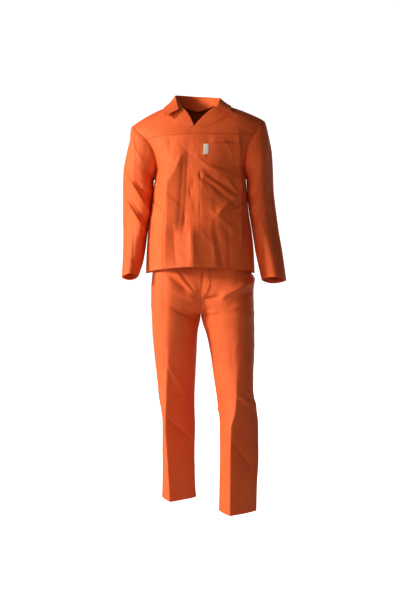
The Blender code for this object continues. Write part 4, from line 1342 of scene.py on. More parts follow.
    def sleeve(self, side: Side) -> bpy.types.Object:
        """A tube from the armhole to the cuff, with its seam underneath.

        Args:
            side: Which sleeve.

        Returns:
            The piece.
        """
        turns = np.linspace(0, 1, self.sleeve_columns + 1)
        tube = self.sleeve_ring(side, np.linspace(0, len(RIGHT_SLEEVE) - 1, self.sleeve_rows), turns)
        first = self.armhole(side, turns)
        middle = (first + tube[0]) / 2
        outward = middle - middle[:-1].mean(axis=0)
        outward /= np.linalg.norm(outward, axis=1, keepdims=True)
        head = []
        for share in np.linspace(0, 1, self.head_rows, endpoint=False):
            swell = self.head_puff * math.sin(math.pi * share**self.head_power)
            head.append(first * (1 - share) + tube[0] * share + outward * swell)
        points = np.concatenate([np.array(head), tube])[::-1]
        seamed = (Edge.LAST_ROW, Edge.FIRST_COLUMN, Edge.LAST_COLUMN)
        return ClothPiece(
            node=f"sleeve_{side.word}",
            grids=[points],
            seams={Edge.FIRST_ROW: self.hem_stitch, **{edge: self.sleeve_stitch for edge in seamed}},
            hem_depth=self.hem_depth,
            heart=points[:, :-1].mean(axis=1)[:, None],
        ).build(self.cloth)

    def patch_cloth(self, s: Floats, place: Floats, lift: float, gape: float) -> Floats:
        """Points of a piece sewn on a front: its sides lie on the cloth and its middle swells a little.

        Args:
            s: Its points' places across the front, rows by columns.
            place: Their levels.
            lift: How far its edges lie above the cloth.
            gape: How far its top edge stands off in the middle.

        Returns:
            Points, with X, Y and Z on the last axis.
        """
        flat = self.torso.bare(FRONT, s, place)
        across, up = run_lengths(flat, 1), run_lengths(flat, 0)
        side_gap = np.minimum(across, across[:, -1:] - across)
        low_gap, top_gap = up, up[-1:] - up
        swell = smooth(np.minimum(side_gap, low_gap) / self.patch_rim)
        middle = smooth(side_gap / (self.patch_middle * across[:, -1:]))
        height = lift + self.patch_swell * swell + gape * middle * np.exp(-top_gap / self.patch_rim)
        return self.torso.front(s, place, Side.LEFT if s.mean() > 0 else Side.RIGHT, height)

    def chest_patch(self, patch: Patch) -> Floats:
        """Points of a rectangle sewn on the left front.

        Args:
            patch: Its sizes.

        Returns:
            Points, with X, Y and Z on the last axis.
        """
        low, high = self.torso.place_at_z(np.array(patch.z), patch.at_s)
        places = np.linspace(low, high, patch.rows)
        x = spread_between(*patch.x, patch.columns, len(places))
        place = np.broadcast_to(places[:, None], x.shape)
        return self.patch_cloth(self.torso.s_at_x(place, x), place, patch.lift, patch.gape)

    def chest_pocket(self) -> bpy.types.Object:
        """The patch pocket on the left chest.

        Returns:
            The piece.
        """
        sewn = (Edge.FIRST_COLUMN, Edge.LAST_COLUMN, Edge.FIRST_ROW)
        return ClothPiece(
            node=CHEST_POCKET.node,
            grids=[self.chest_patch(CHEST_POCKET)],
            held=Held.LAID,
            rests_on=("jacket_front_left_cloth",),
            seams={**{edge: self.patch_stitch for edge in sewn}, Edge.LAST_ROW: self.mouth_stitch},
        ).build(self.cloth)

    def tab(self) -> bpy.types.Object:
        """The plain white tab sewn beside the chest pocket.

        Returns:
            The piece.
        """
        return ClothPiece(
            node=BLANK_TAB.node,
            grids=[self.chest_patch(BLANK_TAB)],
            slot="tab_white",
            held=Held.LAID,
            rests_on=("jacket_front_left_cloth",),
        ).build(self.tab_cloth)

    def front_strip(self) -> bpy.types.Object:
        """The strip that hides the closure, along the left front's edge.

        Returns:
            The piece.
        """
        foot, head = self.strip_ends
        places = np.linspace(foot, YOKE - head, self.panel_rows)
        first = self.torso.lap_s(places) + self.strip_inset
        last = self.torso.s_at_x(places, self.strip_edge_x)
        s = spread_between(first, last, self.strip_columns, len(places))
        place = np.broadcast_to(places[:, None], s.shape)
        height = self.strip_lift - self.strip_sink * np.linspace(0, 1, self.strip_columns)[None, :] ** 2
        return ClothPiece(
            node="front_strip",
            grids=[self.torso.front(s, place, Side.LEFT, np.broadcast_to(height, s.shape))],
            held=Held.LAID,
            rests_on=("jacket_front_left_cloth",),
            seams={Edge.FIRST_COLUMN: self.edge_stitch},
            wall=self.strip_wall,
        ).build(self.cloth)

    def lower_pocket(self, side: Side) -> bpy.types.Object:
        """A patch pocket beside the hem, with a mouth that rises to the side seam.

        Args:
            side: Which front carries it.

        Returns:
            The piece.
        """
        in_x = side.value * self.lower_pocket_in_x
        s_in = abs(float(self.torso.s_at_x(np.array(self.lower_pocket_in_place), in_x)))
        line = np.linspace(s_in, self.lower_pocket_reach, self.lower_pocket_columns)
        low_top, high_top = self.torso.place_at_z(np.array(self.lower_pocket_top_z), self.lower_pocket_reach)
        tops = np.interp(line, (s_in, self.lower_pocket_reach), (low_top, high_top))
        share = np.linspace(0, 1, self.lower_pocket_rows)[:, None]
        place = self.lower_pocket_foot + (tops[None, :] - self.lower_pocket_foot) * share
        s = np.broadcast_to(side.value * line[None, :], place.shape)
        return ClothPiece(
            node=f"lower_pocket_{side.word}",
            grids=[self.patch_cloth(s, place, self.lower_pocket_lift, self.lower_pocket_gape)],
            held=Held.LAID,
            rests_on=(f"jacket_front_{side.word}_cloth",),
            seams={Edge.FIRST_COLUMN: self.patch_stitch, Edge.LAST_ROW: self.mouth_stitch},
        ).build(self.cloth)

    def lapel(self, side: Side) -> bpy.types.Object:
        """The front edge turned back on the yoke beside the V, with a round roll.

        Args:
            side: Which lapel.

        Returns:
            The piece.
        """
        rows = RIGHT_LAPEL if side is Side.RIGHT else LEFT_LAPEL
        lines = steady_curve(rows, np.linspace(0, len(rows) - 1, self.lapel_rows))
        roll_x, roll_z, edge_x, edge_z = (column[:, None] for column in lines)
        t = np.linspace(0, 1, self.lapel_columns)[None, :]
        x, z = roll_x + (edge_x - roll_x) * t, roll_z + (edge_z - roll_z) * t
        s, place = self.torso.place_of(x, z, side)
        height = np.broadcast_to(self.lapel_lift - self.lapel_sink * t, s.shape)
        leaf = self.torso.front(s, place, side, height)
        normal = self.torso.normals(FRONT, s[:, :1], place[:, :1])
        inward = leaf[:, :1] - leaf[:, 2:3]
        inward /= np.linalg.norm(inward, axis=-1, keepdims=True)
        roll = []
        for angle in np.radians(self.roll_turns):
            reach = inward * self.roll_radius * self.roll_width * math.sin(angle)
            roll.append(leaf[:, :1] - normal * self.roll_radius * (1 + math.cos(angle)) + reach)
        return ClothPiece(
            node=f"lapel_{side.word}",
            grids=[np.concatenate([*roll, leaf], axis=1)],
            held=Held.FOLDED,
            rests_on=(f"jacket_front_yoke_{side.word}_cloth",),
            wall=self.lapel_wall,
        ).build(self.cloth)

    def collar(self) -> bpy.types.Object:
        """The collar: a stand that rises from the neckline, and a leaf that folds over it.

        Returns:
            The piece.
        """
        rows = [*RIGHT_COLLAR[::-1], *LEFT_COLLAR[1:]]
        turn = Turn(*steady_curve(rows, np.linspace(0, len(rows) - 1, self.collar_stations)))
        seam = np.stack([turn.seam_x, turn.seam_y, turn.seam_z], axis=-1)[:, None]
        crest = np.stack([turn.fold_x, turn.fold_y, turn.fold_z], axis=-1)[:, None]
        edge = np.stack([turn.edge_x, turn.edge_y, turn.edge_z], axis=-1)[:, None]
        rise, fall = crest - seam, edge - crest
        up = np.linspace(self.stand_foot, 1, self.stand_columns)[None, :, None]
        down = np.linspace(self.leaf_start, 1, self.leaf_columns)[None, :, None]
        stand = seam + rise * up * self.stand_top + fall * self.stand_bend * np.maximum(up, 0) ** 2
        roll = crest - rise * self.crest_drop + fall * self.crest_out
        leaf = crest + fall * down - rise * self.leaf_arch * np.sin(np.pi * down)
        stitched = (Edge.LAST_COLUMN, Edge.FIRST_ROW, Edge.LAST_ROW)
        return ClothPiece(
            node="collar",
            grids=[np.concatenate([stand, roll, leaf], axis=1)],
            held=Held.FOLDED,
            rests_on=("jacket_back_yoke_cloth",),
            seams={edge: self.collar_stitch for edge in stitched},
        ).build(self.cloth)


@dataclass
class Trousers:
    """The trousers: four leg panels, a waistband and the fly's strip."""

    cloth: bpy.types.Material
    leg_columns: int = 66
    leg_rows: int = 260
    leg_middle_x: float = 0.085
    height_samples: int = 2000
    hem_depth: float = 0.024
    hem_stitch: float = 0.021
    stitch_inset: float = 0.0075
    band_z: Span = (-0.430, -0.468)
    band_rows: int = 14
    band_columns: int = 50
    band_seams: Span = (0.002, 0.003)
    band_wall: float = 0.0022
    fly_width: float = 0.030
    fly_inset: float = 0.012
    fly_bottom_z: float = -0.672
    fly_ends: Span = (0.001, 0.002)
    fly_curve: float = 0.060
    fly_foot: float = 0.3
    fly_rows: int = 70
    fly_columns: int = 18
    fly_lift: float = 0.0018
    fly_stitch: float = 0.002
    small_creases: list[Fold] = field(default_factory=list)

    def __post_init__(self) -> None:
        """Gathers the small creases once."""
        for zone in LEG_CREASES:
            self.small_creases += zone.folds()

    def build(self) -> list[bpy.types.Object]:
        """Builds every piece of the trousers."""
        pieces = [self.panel(side, part) for side in Side for part in Part]
        return [*pieces, self.waistband(), self.fly()]

    @staticmethod
    def bare(side: Side, part: Part, q: Floats, place: Floats) -> Floats:
        """Points of a smooth leg.

        Args:
            side: Which leg.
            part: Its front or its back.
            q: Places across the panel: 0 at the outer seam, 0.5 at the crease and 1 at the inner seam.
            place: Levels in the leg's table.

        Returns:
            Points, with X, Y and Z on the last axis.
        """
        leg = Leg(*steady_curve(RIGHT_LEG if side is Side.RIGHT else LEFT_LEG, place))
        if part is Part.FRONT:
            ridge_y, inner_y, crease_x = leg.front_y, leg.inner_front_y, leg.crease_x
        else:
            ridge_y, crease_x = leg.back_y, leg.outer_x + leg.inner_x - leg.crease_x
            inner_y = np.where(place < CROTCH, leg.inner_back_y, leg.inner_front_y)
        outer_half = q < 0.5
        angle = np.where(outer_half, q, 1 - q) * math.pi
        end_x = np.where(outer_half, leg.outer_x, leg.inner_x)
        end_y = np.where(outer_half, leg.seam_y, inner_y)
        x = crease_x + (end_x - crease_x) * np.cos(angle)
        rise = (1 - leg.crease) * np.sin(angle) + leg.crease * (1 - np.cos(angle))
        y = end_y + (ridge_y - end_y) * rise
        joined = np.where(outer_half, 0.0, smooth(CROTCH - place))
        t = 2 * q - 1
        x = x + (crease_x + (end_x - crease_x) * t - x) * joined
        y = y + (ridge_y + (end_y - ridge_y) * t * t - y) * joined
        return np.stack([x, y, leg.z + 0 * x], axis=-1)

    def cloth_at(
        self, side: Side, part: Part, q: Floats, place: Floats, extra: Floats | float = 0.0
    ) -> Floats:
        """Points of a leg's cloth with its folds.

        Args:
            side: Which leg.
            part: Its front or its back.
            q: Places across the panel.
            place: Levels in the leg's table.
            extra: How much further out the points lie.

        Returns:
            Points, with X, Y and Z on the last axis.
        """
        base = self.bare(side, part, q, place)
        dq = self.bare(side, part, q + SLOPE_STEP, place) - self.bare(side, part, q - SLOPE_STEP, place)
        dp = self.bare(side, part, q, place + SLOPE_STEP) - self.bare(side, part, q, place - SLOPE_STEP)
        normal = np.cross(dq, dp)
        normal /= np.maximum(np.linalg.norm(normal, axis=-1, keepdims=True), TINY)
        normal *= side.value * (1 if part is Part.FRONT else -1)
        x, z = base[..., 0], base[..., 2]
        edge = np.minimum(q, 1 - q)
        folds = LEG_FRONT_FOLDS if part is Part.FRONT else LEG_BACK_FOLDS
        detail = LEG_FRONT_DETAIL if part is Part.FRONT else LEG_BACK_DETAIL
        height = relief(folds, x, z) * smooth(edge / LEG_SEAM_CALM)
        height += relief(self.small_creases + detail, x, z) * smooth(edge / CREASE_CALM) + extra
        height -= SEAM_GROOVE * np.exp(-q / GROOVE_REACH)
        height -= SEAM_GROOVE * np.exp(-(1 - q) / GROOVE_REACH) * smooth(place - CROTCH - 1)
        return base + normal * height[..., None]

    def heart_line(self, side: Side, places: Floats, points: Floats) -> Floats:
        """Points down the middle of a leg, by which a panel's outer face is told.

        Args:
            side: Which leg.
            places: The levels of the panel's rows.
            points: The panel's points.

        Returns:
            A point for each row.
        """
        leg = Leg(*steady_curve(RIGHT_LEG if side is Side.RIGHT else LEFT_LEG, places))
        line = points.mean(axis=1)
        line[:, 0] = side.value * self.leg_middle_x
        line[:, 1] = (leg.front_y + leg.back_y) / 2
        return line[:, None]

    def panel(self, side: Side, part: Part) -> bpy.types.Object:
        """One of the four leg panels, from the waistband to the hem, hem first.

        Args:
            side: Which leg.
            part: Its front or its back.

        Returns:
            The piece.
        """
        rows = RIGHT_LEG if side is Side.RIGHT else LEFT_LEG
        fine = np.linspace(0, len(rows) - 1, self.height_samples)
        heights = Leg(*steady_curve(rows, fine)).z
        levels = np.linspace(rows[-1].z, rows[0].z, self.leg_rows)
        places = np.interp(levels, heights[::-1], fine[::-1])
        q = spread_between(0.0, 1.0, self.leg_columns, len(places))
        place = np.broadcast_to(places[:, None], q.shape)
        points = self.cloth_at(side, part, q, place)
        sides = {edge: self.stitch_inset for edge in (Edge.FIRST_COLUMN, Edge.LAST_COLUMN)}
        return ClothPiece(
            node=f"trouser_{part.value}_{side.word}",
            grids=[points],
            slot="trouser_drill",
            seams={**sides, Edge.FIRST_ROW: self.hem_stitch},
            hem_depth=self.hem_depth,
            heart=self.heart_line(side, places, points),
        ).build(self.cloth)

    def waistband(self) -> bpy.types.Object:
        """A ring above the four panels, in line with their top edges.

        Returns:
            The piece.
        """
        quarters = (
            (Side.RIGHT, Part.FRONT, 0.0, 1.0),
            (Side.LEFT, Part.FRONT, 1.0, 0.0),
            (Side.LEFT, Part.BACK, 0.0, 1.0),
            (Side.RIGHT, Part.BACK, 1.0, 0.0),
        )
        ring = []
        for side, part, first, last in quarters:
            q = np.linspace(first, last, self.band_columns, endpoint=False)
            ring.append(self.bare(side, part, q, np.zeros_like(q)))
        loop = np.concatenate(ring)
        loop = np.concatenate([loop, loop[:1]])
        top, bottom = self.band_z
        heights = np.linspace(bottom, top, self.band_rows)
        points = np.repeat(loop[None], len(heights), axis=0)
        points[..., 2] = heights[:, None]
        return ClothPiece(
            node="waistband",
            grids=[points],
            slot="trouser_drill",
            seams=dict(zip((Edge.FIRST_ROW, Edge.LAST_ROW), self.band_seams)),
            wall=self.band_wall,
        ).build(self.cloth)

    def fly(self) -> bpy.types.Object:
        """The strip beside the middle seam that hides the fly, with a curved foot.

        Returns:
            The piece.
        """
        depths = np.array([row.z for row in LEFT_LEG])
        foot_gap, top_gap = self.fly_ends
        z = np.linspace(self.fly_bottom_z + foot_gap, depths[0] - top_gap, self.fly_rows)
        places = np.interp(z, depths[::-1], np.arange(len(depths))[::-1])
        leg = Leg(*steady_curve(LEFT_LEG, places))
        rounded = smooth((leg.z - self.fly_bottom_z) / self.fly_curve)
        width = self.fly_width * (self.fly_foot + (1 - self.fly_foot) * rounded)
        share = width / (leg.outer_x - leg.inner_x)
        q = spread_between(1 - self.fly_inset, 1 - share, self.fly_columns, len(places))
        place = np.broadcast_to(places[:, None], q.shape)
        return ClothPiece(
            node="fly_strip",
            grids=[self.cloth_at(Side.LEFT, Part.FRONT, q, place, self.fly_lift)],
            slot="trouser_drill",
            held=Held.LAID,
            rests_on=("trouser_front_left_cloth",),
            seams={Edge.LAST_COLUMN: self.fly_stitch},
        ).build(self.cloth)


class Grain(NamedTuple):
    """Noise in a piece's own space: clouds in a metre, how much finer it goes, and the band that shows."""

    scale: float
    detail: float
    band: Span = (0.0, 1.0)


@dataclass
class NodeWeb:
    """A node group under construction, with short ways to add the nodes that the finishes use."""

    name: str
    group: bpy.types.ShaderNodeTree = field(init=False)

    def __post_init__(self) -> None:
        """Makes the empty group."""
        self.group = bpy.data.node_groups.new(self.name, "ShaderNodeTree")

    def node(self, kind: str, **settings: object) -> bpy.types.Node:
        """Adds a node.

        Args:
            kind: Its type.
            settings: Its properties.

        Returns:
            The node.
        """
        node = self.group.nodes.new(kind)
        for key, value in settings.items():
            setattr(node, key, value)
        return node

    def feed(self, socket: bpy.types.NodeSocket, value: object) -> None:
        """Links a socket, or sets its value.

        Args:
            socket: The input.
            value: An output to link to it, or a number or colour.
        """
        if isinstance(value, bpy.types.NodeSocket):
            self.group.links.new(value, socket)
        else:
            socket.default_value = value

    def take(self, name: str, kind: str = "NodeSocketFloat") -> bpy.types.NodeSocket:
        """Gives the group a named input.

        Args:
            name: The input's name.
            kind: Its socket's type.

        Returns:
            The input's value inside the group.
        """
        self.group.interface.new_socket(name, in_out="INPUT", socket_type=kind)
        return self.node("NodeGroupInput").outputs[name]

    def give(self, name: str, kind: str, value: bpy.types.NodeSocket) -> None:
        """Gives the group its named output.

        Args:
            name: The output's name.
            kind: Its socket's type.
            value: What it puts out.
        """
        self.group.interface.new_socket(name, in_out="OUTPUT", socket_type=kind)
        self.feed(self.node("NodeGroupOutput").inputs[0], value)

    def math(self, operation: str, *values: object) -> bpy.types.NodeSocket:
        """A maths node.

        Args:
            operation: What it does.
            values: Its numbers or sockets.

        Returns:
            The result.
        """
        node = self.node("ShaderNodeMath", operation=operation)
        for socket, value in zip(node.inputs, values):
            self.feed(socket, value)
        return node.outputs[0]

    def joined(self, operation: str, *values: object) -> bpy.types.NodeSocket:
        """Several values joined by one operation, such as their sum.

        Args:
            operation: The operation on each two.
            values: Numbers or sockets.

        Returns:
            The result.
        """
        result = values[0]
        for value in values[1:]:
            result = self.math(operation, result, value)
        return result

    def ramp(
        self, value: object, low: float, high: float, ends: tuple[object, object] = (0.0, 1.0)
    ) -> bpy.types.NodeSocket:
        """A value eased from one end to the other.

        Args:
            value: The value that is followed.
            low: Where the first end is.
            high: Where the other end is.
            ends: The result at each end.

        Returns:
            The eased value.
        """
        node = self.node("ShaderNodeMapRange", interpolation_type="SMOOTHSTEP")
        for socket, number in zip(node.inputs, (value, low, high, *ends)):
            self.feed(socket, number)
        return node.outputs[0]

    def noise(self, grain: Grain) -> bpy.types.NodeSocket:
        """Soft noise from 0 to 1 in the piece's own space.

        Args:
            grain: Its scale and detail.

        Returns:
            The noise.
        """
        node = self.node("ShaderNodeTexNoise")
        self.feed(node.inputs["Vector"], self.node("ShaderNodeTexCoord").outputs["Object"])
        node.inputs["Scale"].default_value = grain.scale
        node.inputs["Detail"].default_value = grain.detail
        return node.outputs["Fac"]

    def map_parts(self, name: str) -> tuple[bpy.types.NodeSocket, bpy.types.NodeSocket]:
        """The two parts of one of the cloth's maps.

        Args:
            name: The map.

        Returns:
            Its first and its second coordinate.
        """
        uv = self.node("ShaderNodeUVMap", uv_map=name)
        split = self.node("ShaderNodeSeparateXYZ")
        self.feed(split.inputs[0], uv.outputs[0])
        return split.outputs[0], split.outputs[1]

    def seam_near(self) -> bpy.types.NodeSocket:
        """The distance to the nearest seam."""
        return self.node("ShaderNodeAttribute", attribute_name="seam_near").outputs["Fac"]

    def mix(self, share: object, first: object, second: object) -> bpy.types.NodeSocket:
        """One colour blended into another.

        Args:
            share: How much of the second.
            first: The first colour.
            second: The second colour.

        Returns:
            The blend.
        """
        node = self.node("ShaderNodeMix", data_type="RGBA")
        for k, value in ((0, share), (6, first), (7, second)):
            self.feed(node.inputs[k], value)
        return node.outputs[2]


@dataclass
class TwillLook:
    """The node groups that dress every cloth here, each built once, with the cloth's own values as inputs."""

    stitch_pitch: float = 0.0033
    stitch_rows: Span = (0.0, -0.0060)
    dash: Span = (0.10, 0.18)
    thread_edge: Span = (0.0002, 0.0006)
    thread_cover: float = 0.6
    thread_height: float = 0.25
    cloud: Grain = Grain(9.0, 4.0, (0.3, 0.7))
    cloud_share: float = 0.5
    speck: Grain = Grain(420.0, 2.0, (0.35, 0.75))
    speck_share: float = 0.22
    rub: Grain = Grain(120.0, 3.0, (0.45, 0.7))
    rub_reach: float = 0.010
    rub_share: float = 0.35
    # Painted shade along each seam's edge: the band over which it fades out, and how much of the deep colour
    # it takes.
    seam_shade_band: Span = (0.0003, 0.0016)
    seam_shade_share: float = 0.55
    twill_slant: float = 0.62
    twill_height: float = 0.05
    wander: Grain = Grain(300.0, 1.0)
    wander_reach: float = 0.0006
    fuzz: Grain = Grain(900.0, 2.0)
    fuzz_height: float = 0.10
    pucker: Grain = Grain(95.0, 2.0)
    pucker_band: Span = (0.001, 0.016)
    soft: Grain = Grain(32.0, 3.0)
    soft_height: float = 1.1
    wear: Grain = Grain(14.0, 3.0, (0.3, 0.7))
    colour: bpy.types.ShaderNodeTree = field(init=False)
    height: bpy.types.ShaderNodeTree = field(init=False)
    roughness: bpy.types.ShaderNodeTree = field(init=False)

    def __post_init__(self) -> None:
        """Builds the three groups."""
        self.colour = self.colour_group()
        self.height = self.height_group()
        self.roughness = self.roughness_group()

    def stitches(self, web: NodeWeb) -> bpy.types.NodeSocket:
        """Two rows of thread beside each stitched edge.

        Args:
            web: The group that they go into.

        Returns:
            From 0 to 1 on a thread.
        """
        rows = []
        for name in ("side_stitch", "end_stitch"):
            along, across = web.map_parts(name)
            dash = web.math("PINGPONG", web.math("DIVIDE", along, self.stitch_pitch), 0.5)
            shown = web.ramp(dash, *self.dash)
            for place in self.stitch_rows:
                off = web.math("ABSOLUTE", web.math("SUBTRACT", across, place))
                rows.append(web.math("MULTIPLY", web.ramp(off, *self.thread_edge, (1.0, 0.0)), shown))
        return web.joined("MAXIMUM", *rows)

    def colour_group(self) -> bpy.types.ShaderNodeTree:
        """The colour: clouded, a little paler where it is worn beside seams, darkened in a thin band along
        each seam's edge as painted shade, with the thread laid on.

        Returns:
            The group, with the cloth's four colours as inputs.
        """
        web = NodeWeb("cloth colour")
        plain, worn, deep, thread = (
            web.take(name, "NodeSocketColor") for name in ("Plain", "Worn", "Deep", "Thread")
        )
        near = web.ramp(web.seam_near(), 0.0, self.rub_reach, (1.0, 0.0))
        rub = web.math("MULTIPLY", near, web.ramp(web.noise(self.rub), *self.rub.band))
        cloud = web.ramp(web.noise(self.cloud), *self.cloud.band, (0.0, self.cloud_share))
        speck = web.ramp(web.noise(self.speck), *self.speck.band, (0.0, self.speck_share))
        # Painted shade: a thin dark line along each seam's edge, standing in for the shadow under the seam's
        # ledge.
        edge = web.ramp(web.seam_near(), *self.seam_shade_band, (self.seam_shade_share, 0.0))
        base = web.mix(cloud, plain, worn)
        base = web.mix(speck, base, deep)
        base = web.mix(web.math("MULTIPLY", rub, self.rub_share), base, worn)
        base = web.mix(edge, base, deep)
        base = web.mix(web.math("MULTIPLY", self.stitches(web), self.thread_cover), base, thread)
        web.give("Color", "NodeSocketColor", base)
        return web.group

    def height_group(self) -> bpy.types.ShaderNodeTree:
        """The height: twill lines, raised thread, and small puckers beside each seam.

        Returns:
            The group, with the length of cloth for each radian of the twill's waves as its input.
        """
        web = NodeWeb("cloth height")
        wave = web.take("Twill Wave")
        across, along = web.map_parts("weave")
        slant = web.math("ADD", across, web.math("MULTIPLY", along, self.twill_slant))
        wander = web.math("MULTIPLY", web.noise(self.wander), self.wander_reach)
        turns = web.math("DIVIDE", web.math("ADD", slant, wander), wave)
        twill = web.math("MULTIPLY", web.math("SINE", turns), self.twill_height)
        fuzz = web.math("MULTIPLY", web.noise(self.fuzz), self.fuzz_height)
        near = web.ramp(web.seam_near(), *self.pucker_band, (1.0, 0.0))
        puckers = web.math("MULTIPLY", web.noise(self.pucker), near)
        soft = web.math("MULTIPLY", web.noise(self.soft), self.soft_height)
        thread = web.math("MULTIPLY", self.stitches(web), self.thread_height)
        web.give("Height", "NodeSocketFloat", web.joined("ADD", twill, fuzz, puckers, soft, thread))
        return web.group

    def roughness_group(self) -> bpy.types.ShaderNodeTree:
        """The roughness, uneven from wear.

        Returns:
            The group, with the roughness of the smoothest and the roughest places as inputs.
        """
        web = NodeWeb("cloth roughness")
        ends = (web.take("Smoothest"), web.take("Roughest"))
        web.give("Roughness", "NodeSocketFloat", web.ramp(web.noise(self.wear), *self.wear.band, ends))
        return web.group


@dataclass(frozen=True)
class ClothFinish:
    """A matt twill cloth: its colours, its weave's pitch, and how it catches the light."""

    name: str
    colour: Colour
    worn: Colour
    # deep: the darker tone of the random specks, and of the painted shade along seam edges
    deep: Colour
    thread: Colour
    twill_pitch: float = 0.0011
    roughness: Span = (0.62, 0.74)
    specular: float = 0.38
    sheen: float = 0.10
    sheen_roughness: float = 0.5
    sheen_tint: Colour = (1.0, 0.60, 0.35, 1.0)
    bump: float = 0.0009

    def values(self) -> tuple[dict[str, Colour], dict[str, float], dict[str, float]]:
        """What this cloth gives to the groups.

        Returns:
            The inputs of the colour, roughness and height groups by name.
        """
        colours = {"Plain": self.colour, "Worn": self.worn, "Deep": self.deep, "Thread": self.thread}
        ends = dict(zip(("Smoothest", "Roughest"), self.roughness))
        return colours, ends, {"Twill Wave": self.twill_pitch / (2 * math.pi)}

    def material(self, look: TwillLook) -> bpy.types.Material:
        """The finished material.

        Args:
            look: The groups that it is dressed with.

        Returns:
            The material.
        """
        material = bpy.data.materials.new(self.name)
        material.use_nodes = True
        nodes, links = material.node_tree.nodes, material.node_tree.links
        shader = nodes["Principled BSDF"]
        bump = nodes.new("ShaderNodeBump")
        bump.inputs["Distance"].default_value = self.bump
        groups = (look.colour, look.roughness, look.height)
        sockets = (shader.inputs["Base Color"], shader.inputs["Roughness"], bump.inputs["Height"])
        for group, values, socket in zip(groups, self.values(), sockets):
            node = nodes.new("ShaderNodeGroup")
            node.node_tree = group
            for name, value in values.items():
                node.inputs[name].default_value = value
            links.new(node.outputs[0], socket)
        links.new(bump.outputs["Normal"], shader.inputs["Normal"])
        shader.inputs["Sheen Weight"].default_value = self.sheen
        shader.inputs["Sheen Roughness"].default_value = self.sheen_roughness
        shader.inputs["Sheen Tint"].default_value = self.sheen_tint
        shader.inputs["Specular IOR Level"].default_value = self.specular
        return material


JACKET_DRILL = ClothFinish(
    name="jacket_drill_cloth",
    colour=(0.73, 0.130, 0.031, 1.0),
    worn=(0.79, 0.165, 0.044, 1.0),
    deep=(0.54, 0.078, 0.019, 1.0),
    thread=(0.60, 0.095, 0.022, 1.0),
)
TROUSER_DRILL = ClothFinish(
    name="trouser_drill_cloth",
    colour=(0.72, 0.126, 0.031, 1.0),
    worn=(0.78, 0.160, 0.044, 1.0),
    deep=(0.53, 0.075, 0.019, 1.0),
    thread=(0.60, 0.095, 0.022, 1.0),
)
TAB_COTTON = ClothFinish(
    name="tab_white_cloth",
    colour=(0.86, 0.84, 0.82, 1.0),
    worn=(0.90, 0.88, 0.86, 1.0),
    deep=(0.78, 0.75, 0.73, 1.0),
    thread=(0.75, 0.72, 0.70, 1.0),
    twill_pitch=0.0006,
    sheen_tint=(1.0, 1.0, 1.0, 1.0),
)


@dataclass(frozen=True)
class Lamp:
    """A soft square light that points at the suit."""

    name: str
    place: Place
    size: float
    power: float
    colour: Place = (1.0, 1.0, 1.0)

    def build(self, target: Vector) -> None:
        """Hangs the light.

        Args:
            target: Where it points.
        """
        light = bpy.data.lights.new(self.name, "AREA")
        light.size = self.size
        light.energy = self.power
        light.color = self.colour
        holder = bpy.data.objects.new(self.name, light)
        holder.location = self.place
        holder.rotation_euler = (target - holder.location).to_track_quat("-Z", "Y").to_euler()
        bpy.context.scene.collection.objects.link(holder)


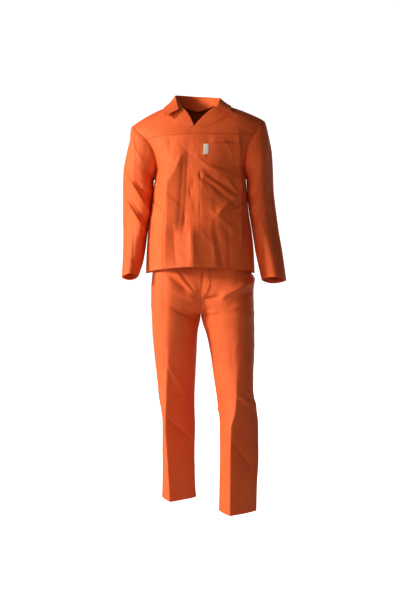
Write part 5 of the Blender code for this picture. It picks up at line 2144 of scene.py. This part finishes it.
@dataclass
class Studio:
    """A pale room without edges, soft lights and the camera."""

    camera_place: Place = (0.0072, -3.8, -0.461)
    camera_target: Place = (0.0072, 0.0, -0.677)
    lens: float = 63.3
    floor_z: float = -1.66
    floor_size: float = 60.0
    floor_colours: tuple[Colour, Colour] = ((0.93, 0.93, 0.93, 1.0), (0.96, 0.96, 0.96, 1.0))
    floor_cloud: Grain = Grain(3.0, 3.0)
    floor_roughness: float = 0.9
    floor_glow: float = 0.85
    white: Colour = (1.0, 1.0, 1.0, 1.0)
    glow: float = 1.0
    room_light: float = 0.095
    lamps: tuple[Lamp, ...] = (
        Lamp("Key", (-4.46, -1.48, 1.2), 1.0, 256.0, (1.0, 0.98, 0.92)),
        Lamp("Fill", (-2.3, -3.5, 1.0), 2.5, 46.0, (1.0, 0.80, 0.64)),
        Lamp("Back", (1.8, 4.4, 0.1), 3.0, 60.0),
    )

    def build(self) -> None:
        """Sets up the floor, room, lights and camera."""
        self.floor()
        self.world()
        for lamp in self.lamps:
            lamp.build(Vector(self.camera_target))
        self.camera()
        view = bpy.context.scene.view_settings
        view.view_transform = "Standard"
        view.look = "Medium High Contrast"

    def floor(self) -> None:
        """A plain pale floor below the hems."""
        bpy.ops.mesh.primitive_plane_add(size=self.floor_size, location=(0.0, 0.0, self.floor_z))
        floor = bpy.context.object
        floor.name = "Floor"
        material = bpy.data.materials.new("pale_floor")
        material.use_nodes = True
        nodes, links = material.node_tree.nodes, material.node_tree.links
        web = NodeWeb("floor colour")
        web.give("Color", "NodeSocketColor", web.mix(web.noise(self.floor_cloud), *self.floor_colours))
        node = nodes.new("ShaderNodeGroup")
        node.node_tree = web.group
        shader = nodes["Principled BSDF"]
        links.new(node.outputs[0], shader.inputs["Base Color"])
        shader.inputs["Roughness"].default_value = self.floor_roughness
        shader.inputs["Emission Color"].default_value = self.white
        path, glow = nodes.new("ShaderNodeLightPath"), nodes.new("ShaderNodeMath")
        glow.operation = "MULTIPLY"
        glow.inputs[1].default_value = self.floor_glow
        links.new(path.outputs["Is Camera Ray"], glow.inputs[0])
        links.new(glow.outputs[0], shader.inputs["Emission Strength"])
        floor.data.materials.append(material)

    def world(self) -> None:
        """White to the camera, and a weak light on the suit."""
        world = bpy.data.worlds.new("Room")
        bpy.context.scene.world = world
        world.use_nodes = True
        nodes, links = world.node_tree.nodes, world.node_tree.links
        back = nodes["Background"]
        path, level = nodes.new("ShaderNodeLightPath"), nodes.new("ShaderNodeMapRange")
        level.inputs["To Min"].default_value = self.room_light
        level.inputs["To Max"].default_value = self.glow
        links.new(path.outputs["Is Camera Ray"], level.inputs["Value"])
        links.new(level.outputs["Result"], back.inputs["Strength"])
        back.inputs["Color"].default_value = self.white

    def camera(self) -> None:
        """The camera at chest height, in front."""
        data = bpy.data.cameras.new("Camera")
        data.lens = self.lens
        holder = bpy.data.objects.new("Camera", data)
        holder.location = self.camera_place
        aim = Vector(self.camera_target) - holder.location
        holder.rotation_euler = aim.to_track_quat("-Z", "Y").to_euler()
        bpy.context.scene.collection.objects.link(holder)
        bpy.context.scene.camera = holder


def main() -> None:
    """Builds the suit and its studio."""
    logging.basicConfig(level=logging.INFO, format="%(message)s")
    look = TwillLook()
    pieces = Jacket(JACKET_DRILL.material(look), TAB_COTTON.material(look)).build()
    pieces += Trousers(TROUSER_DRILL.material(look)).build()
    Studio().build()
    LOG.info("%d pieces", len(pieces))


if __name__ == "__main__":
    main()
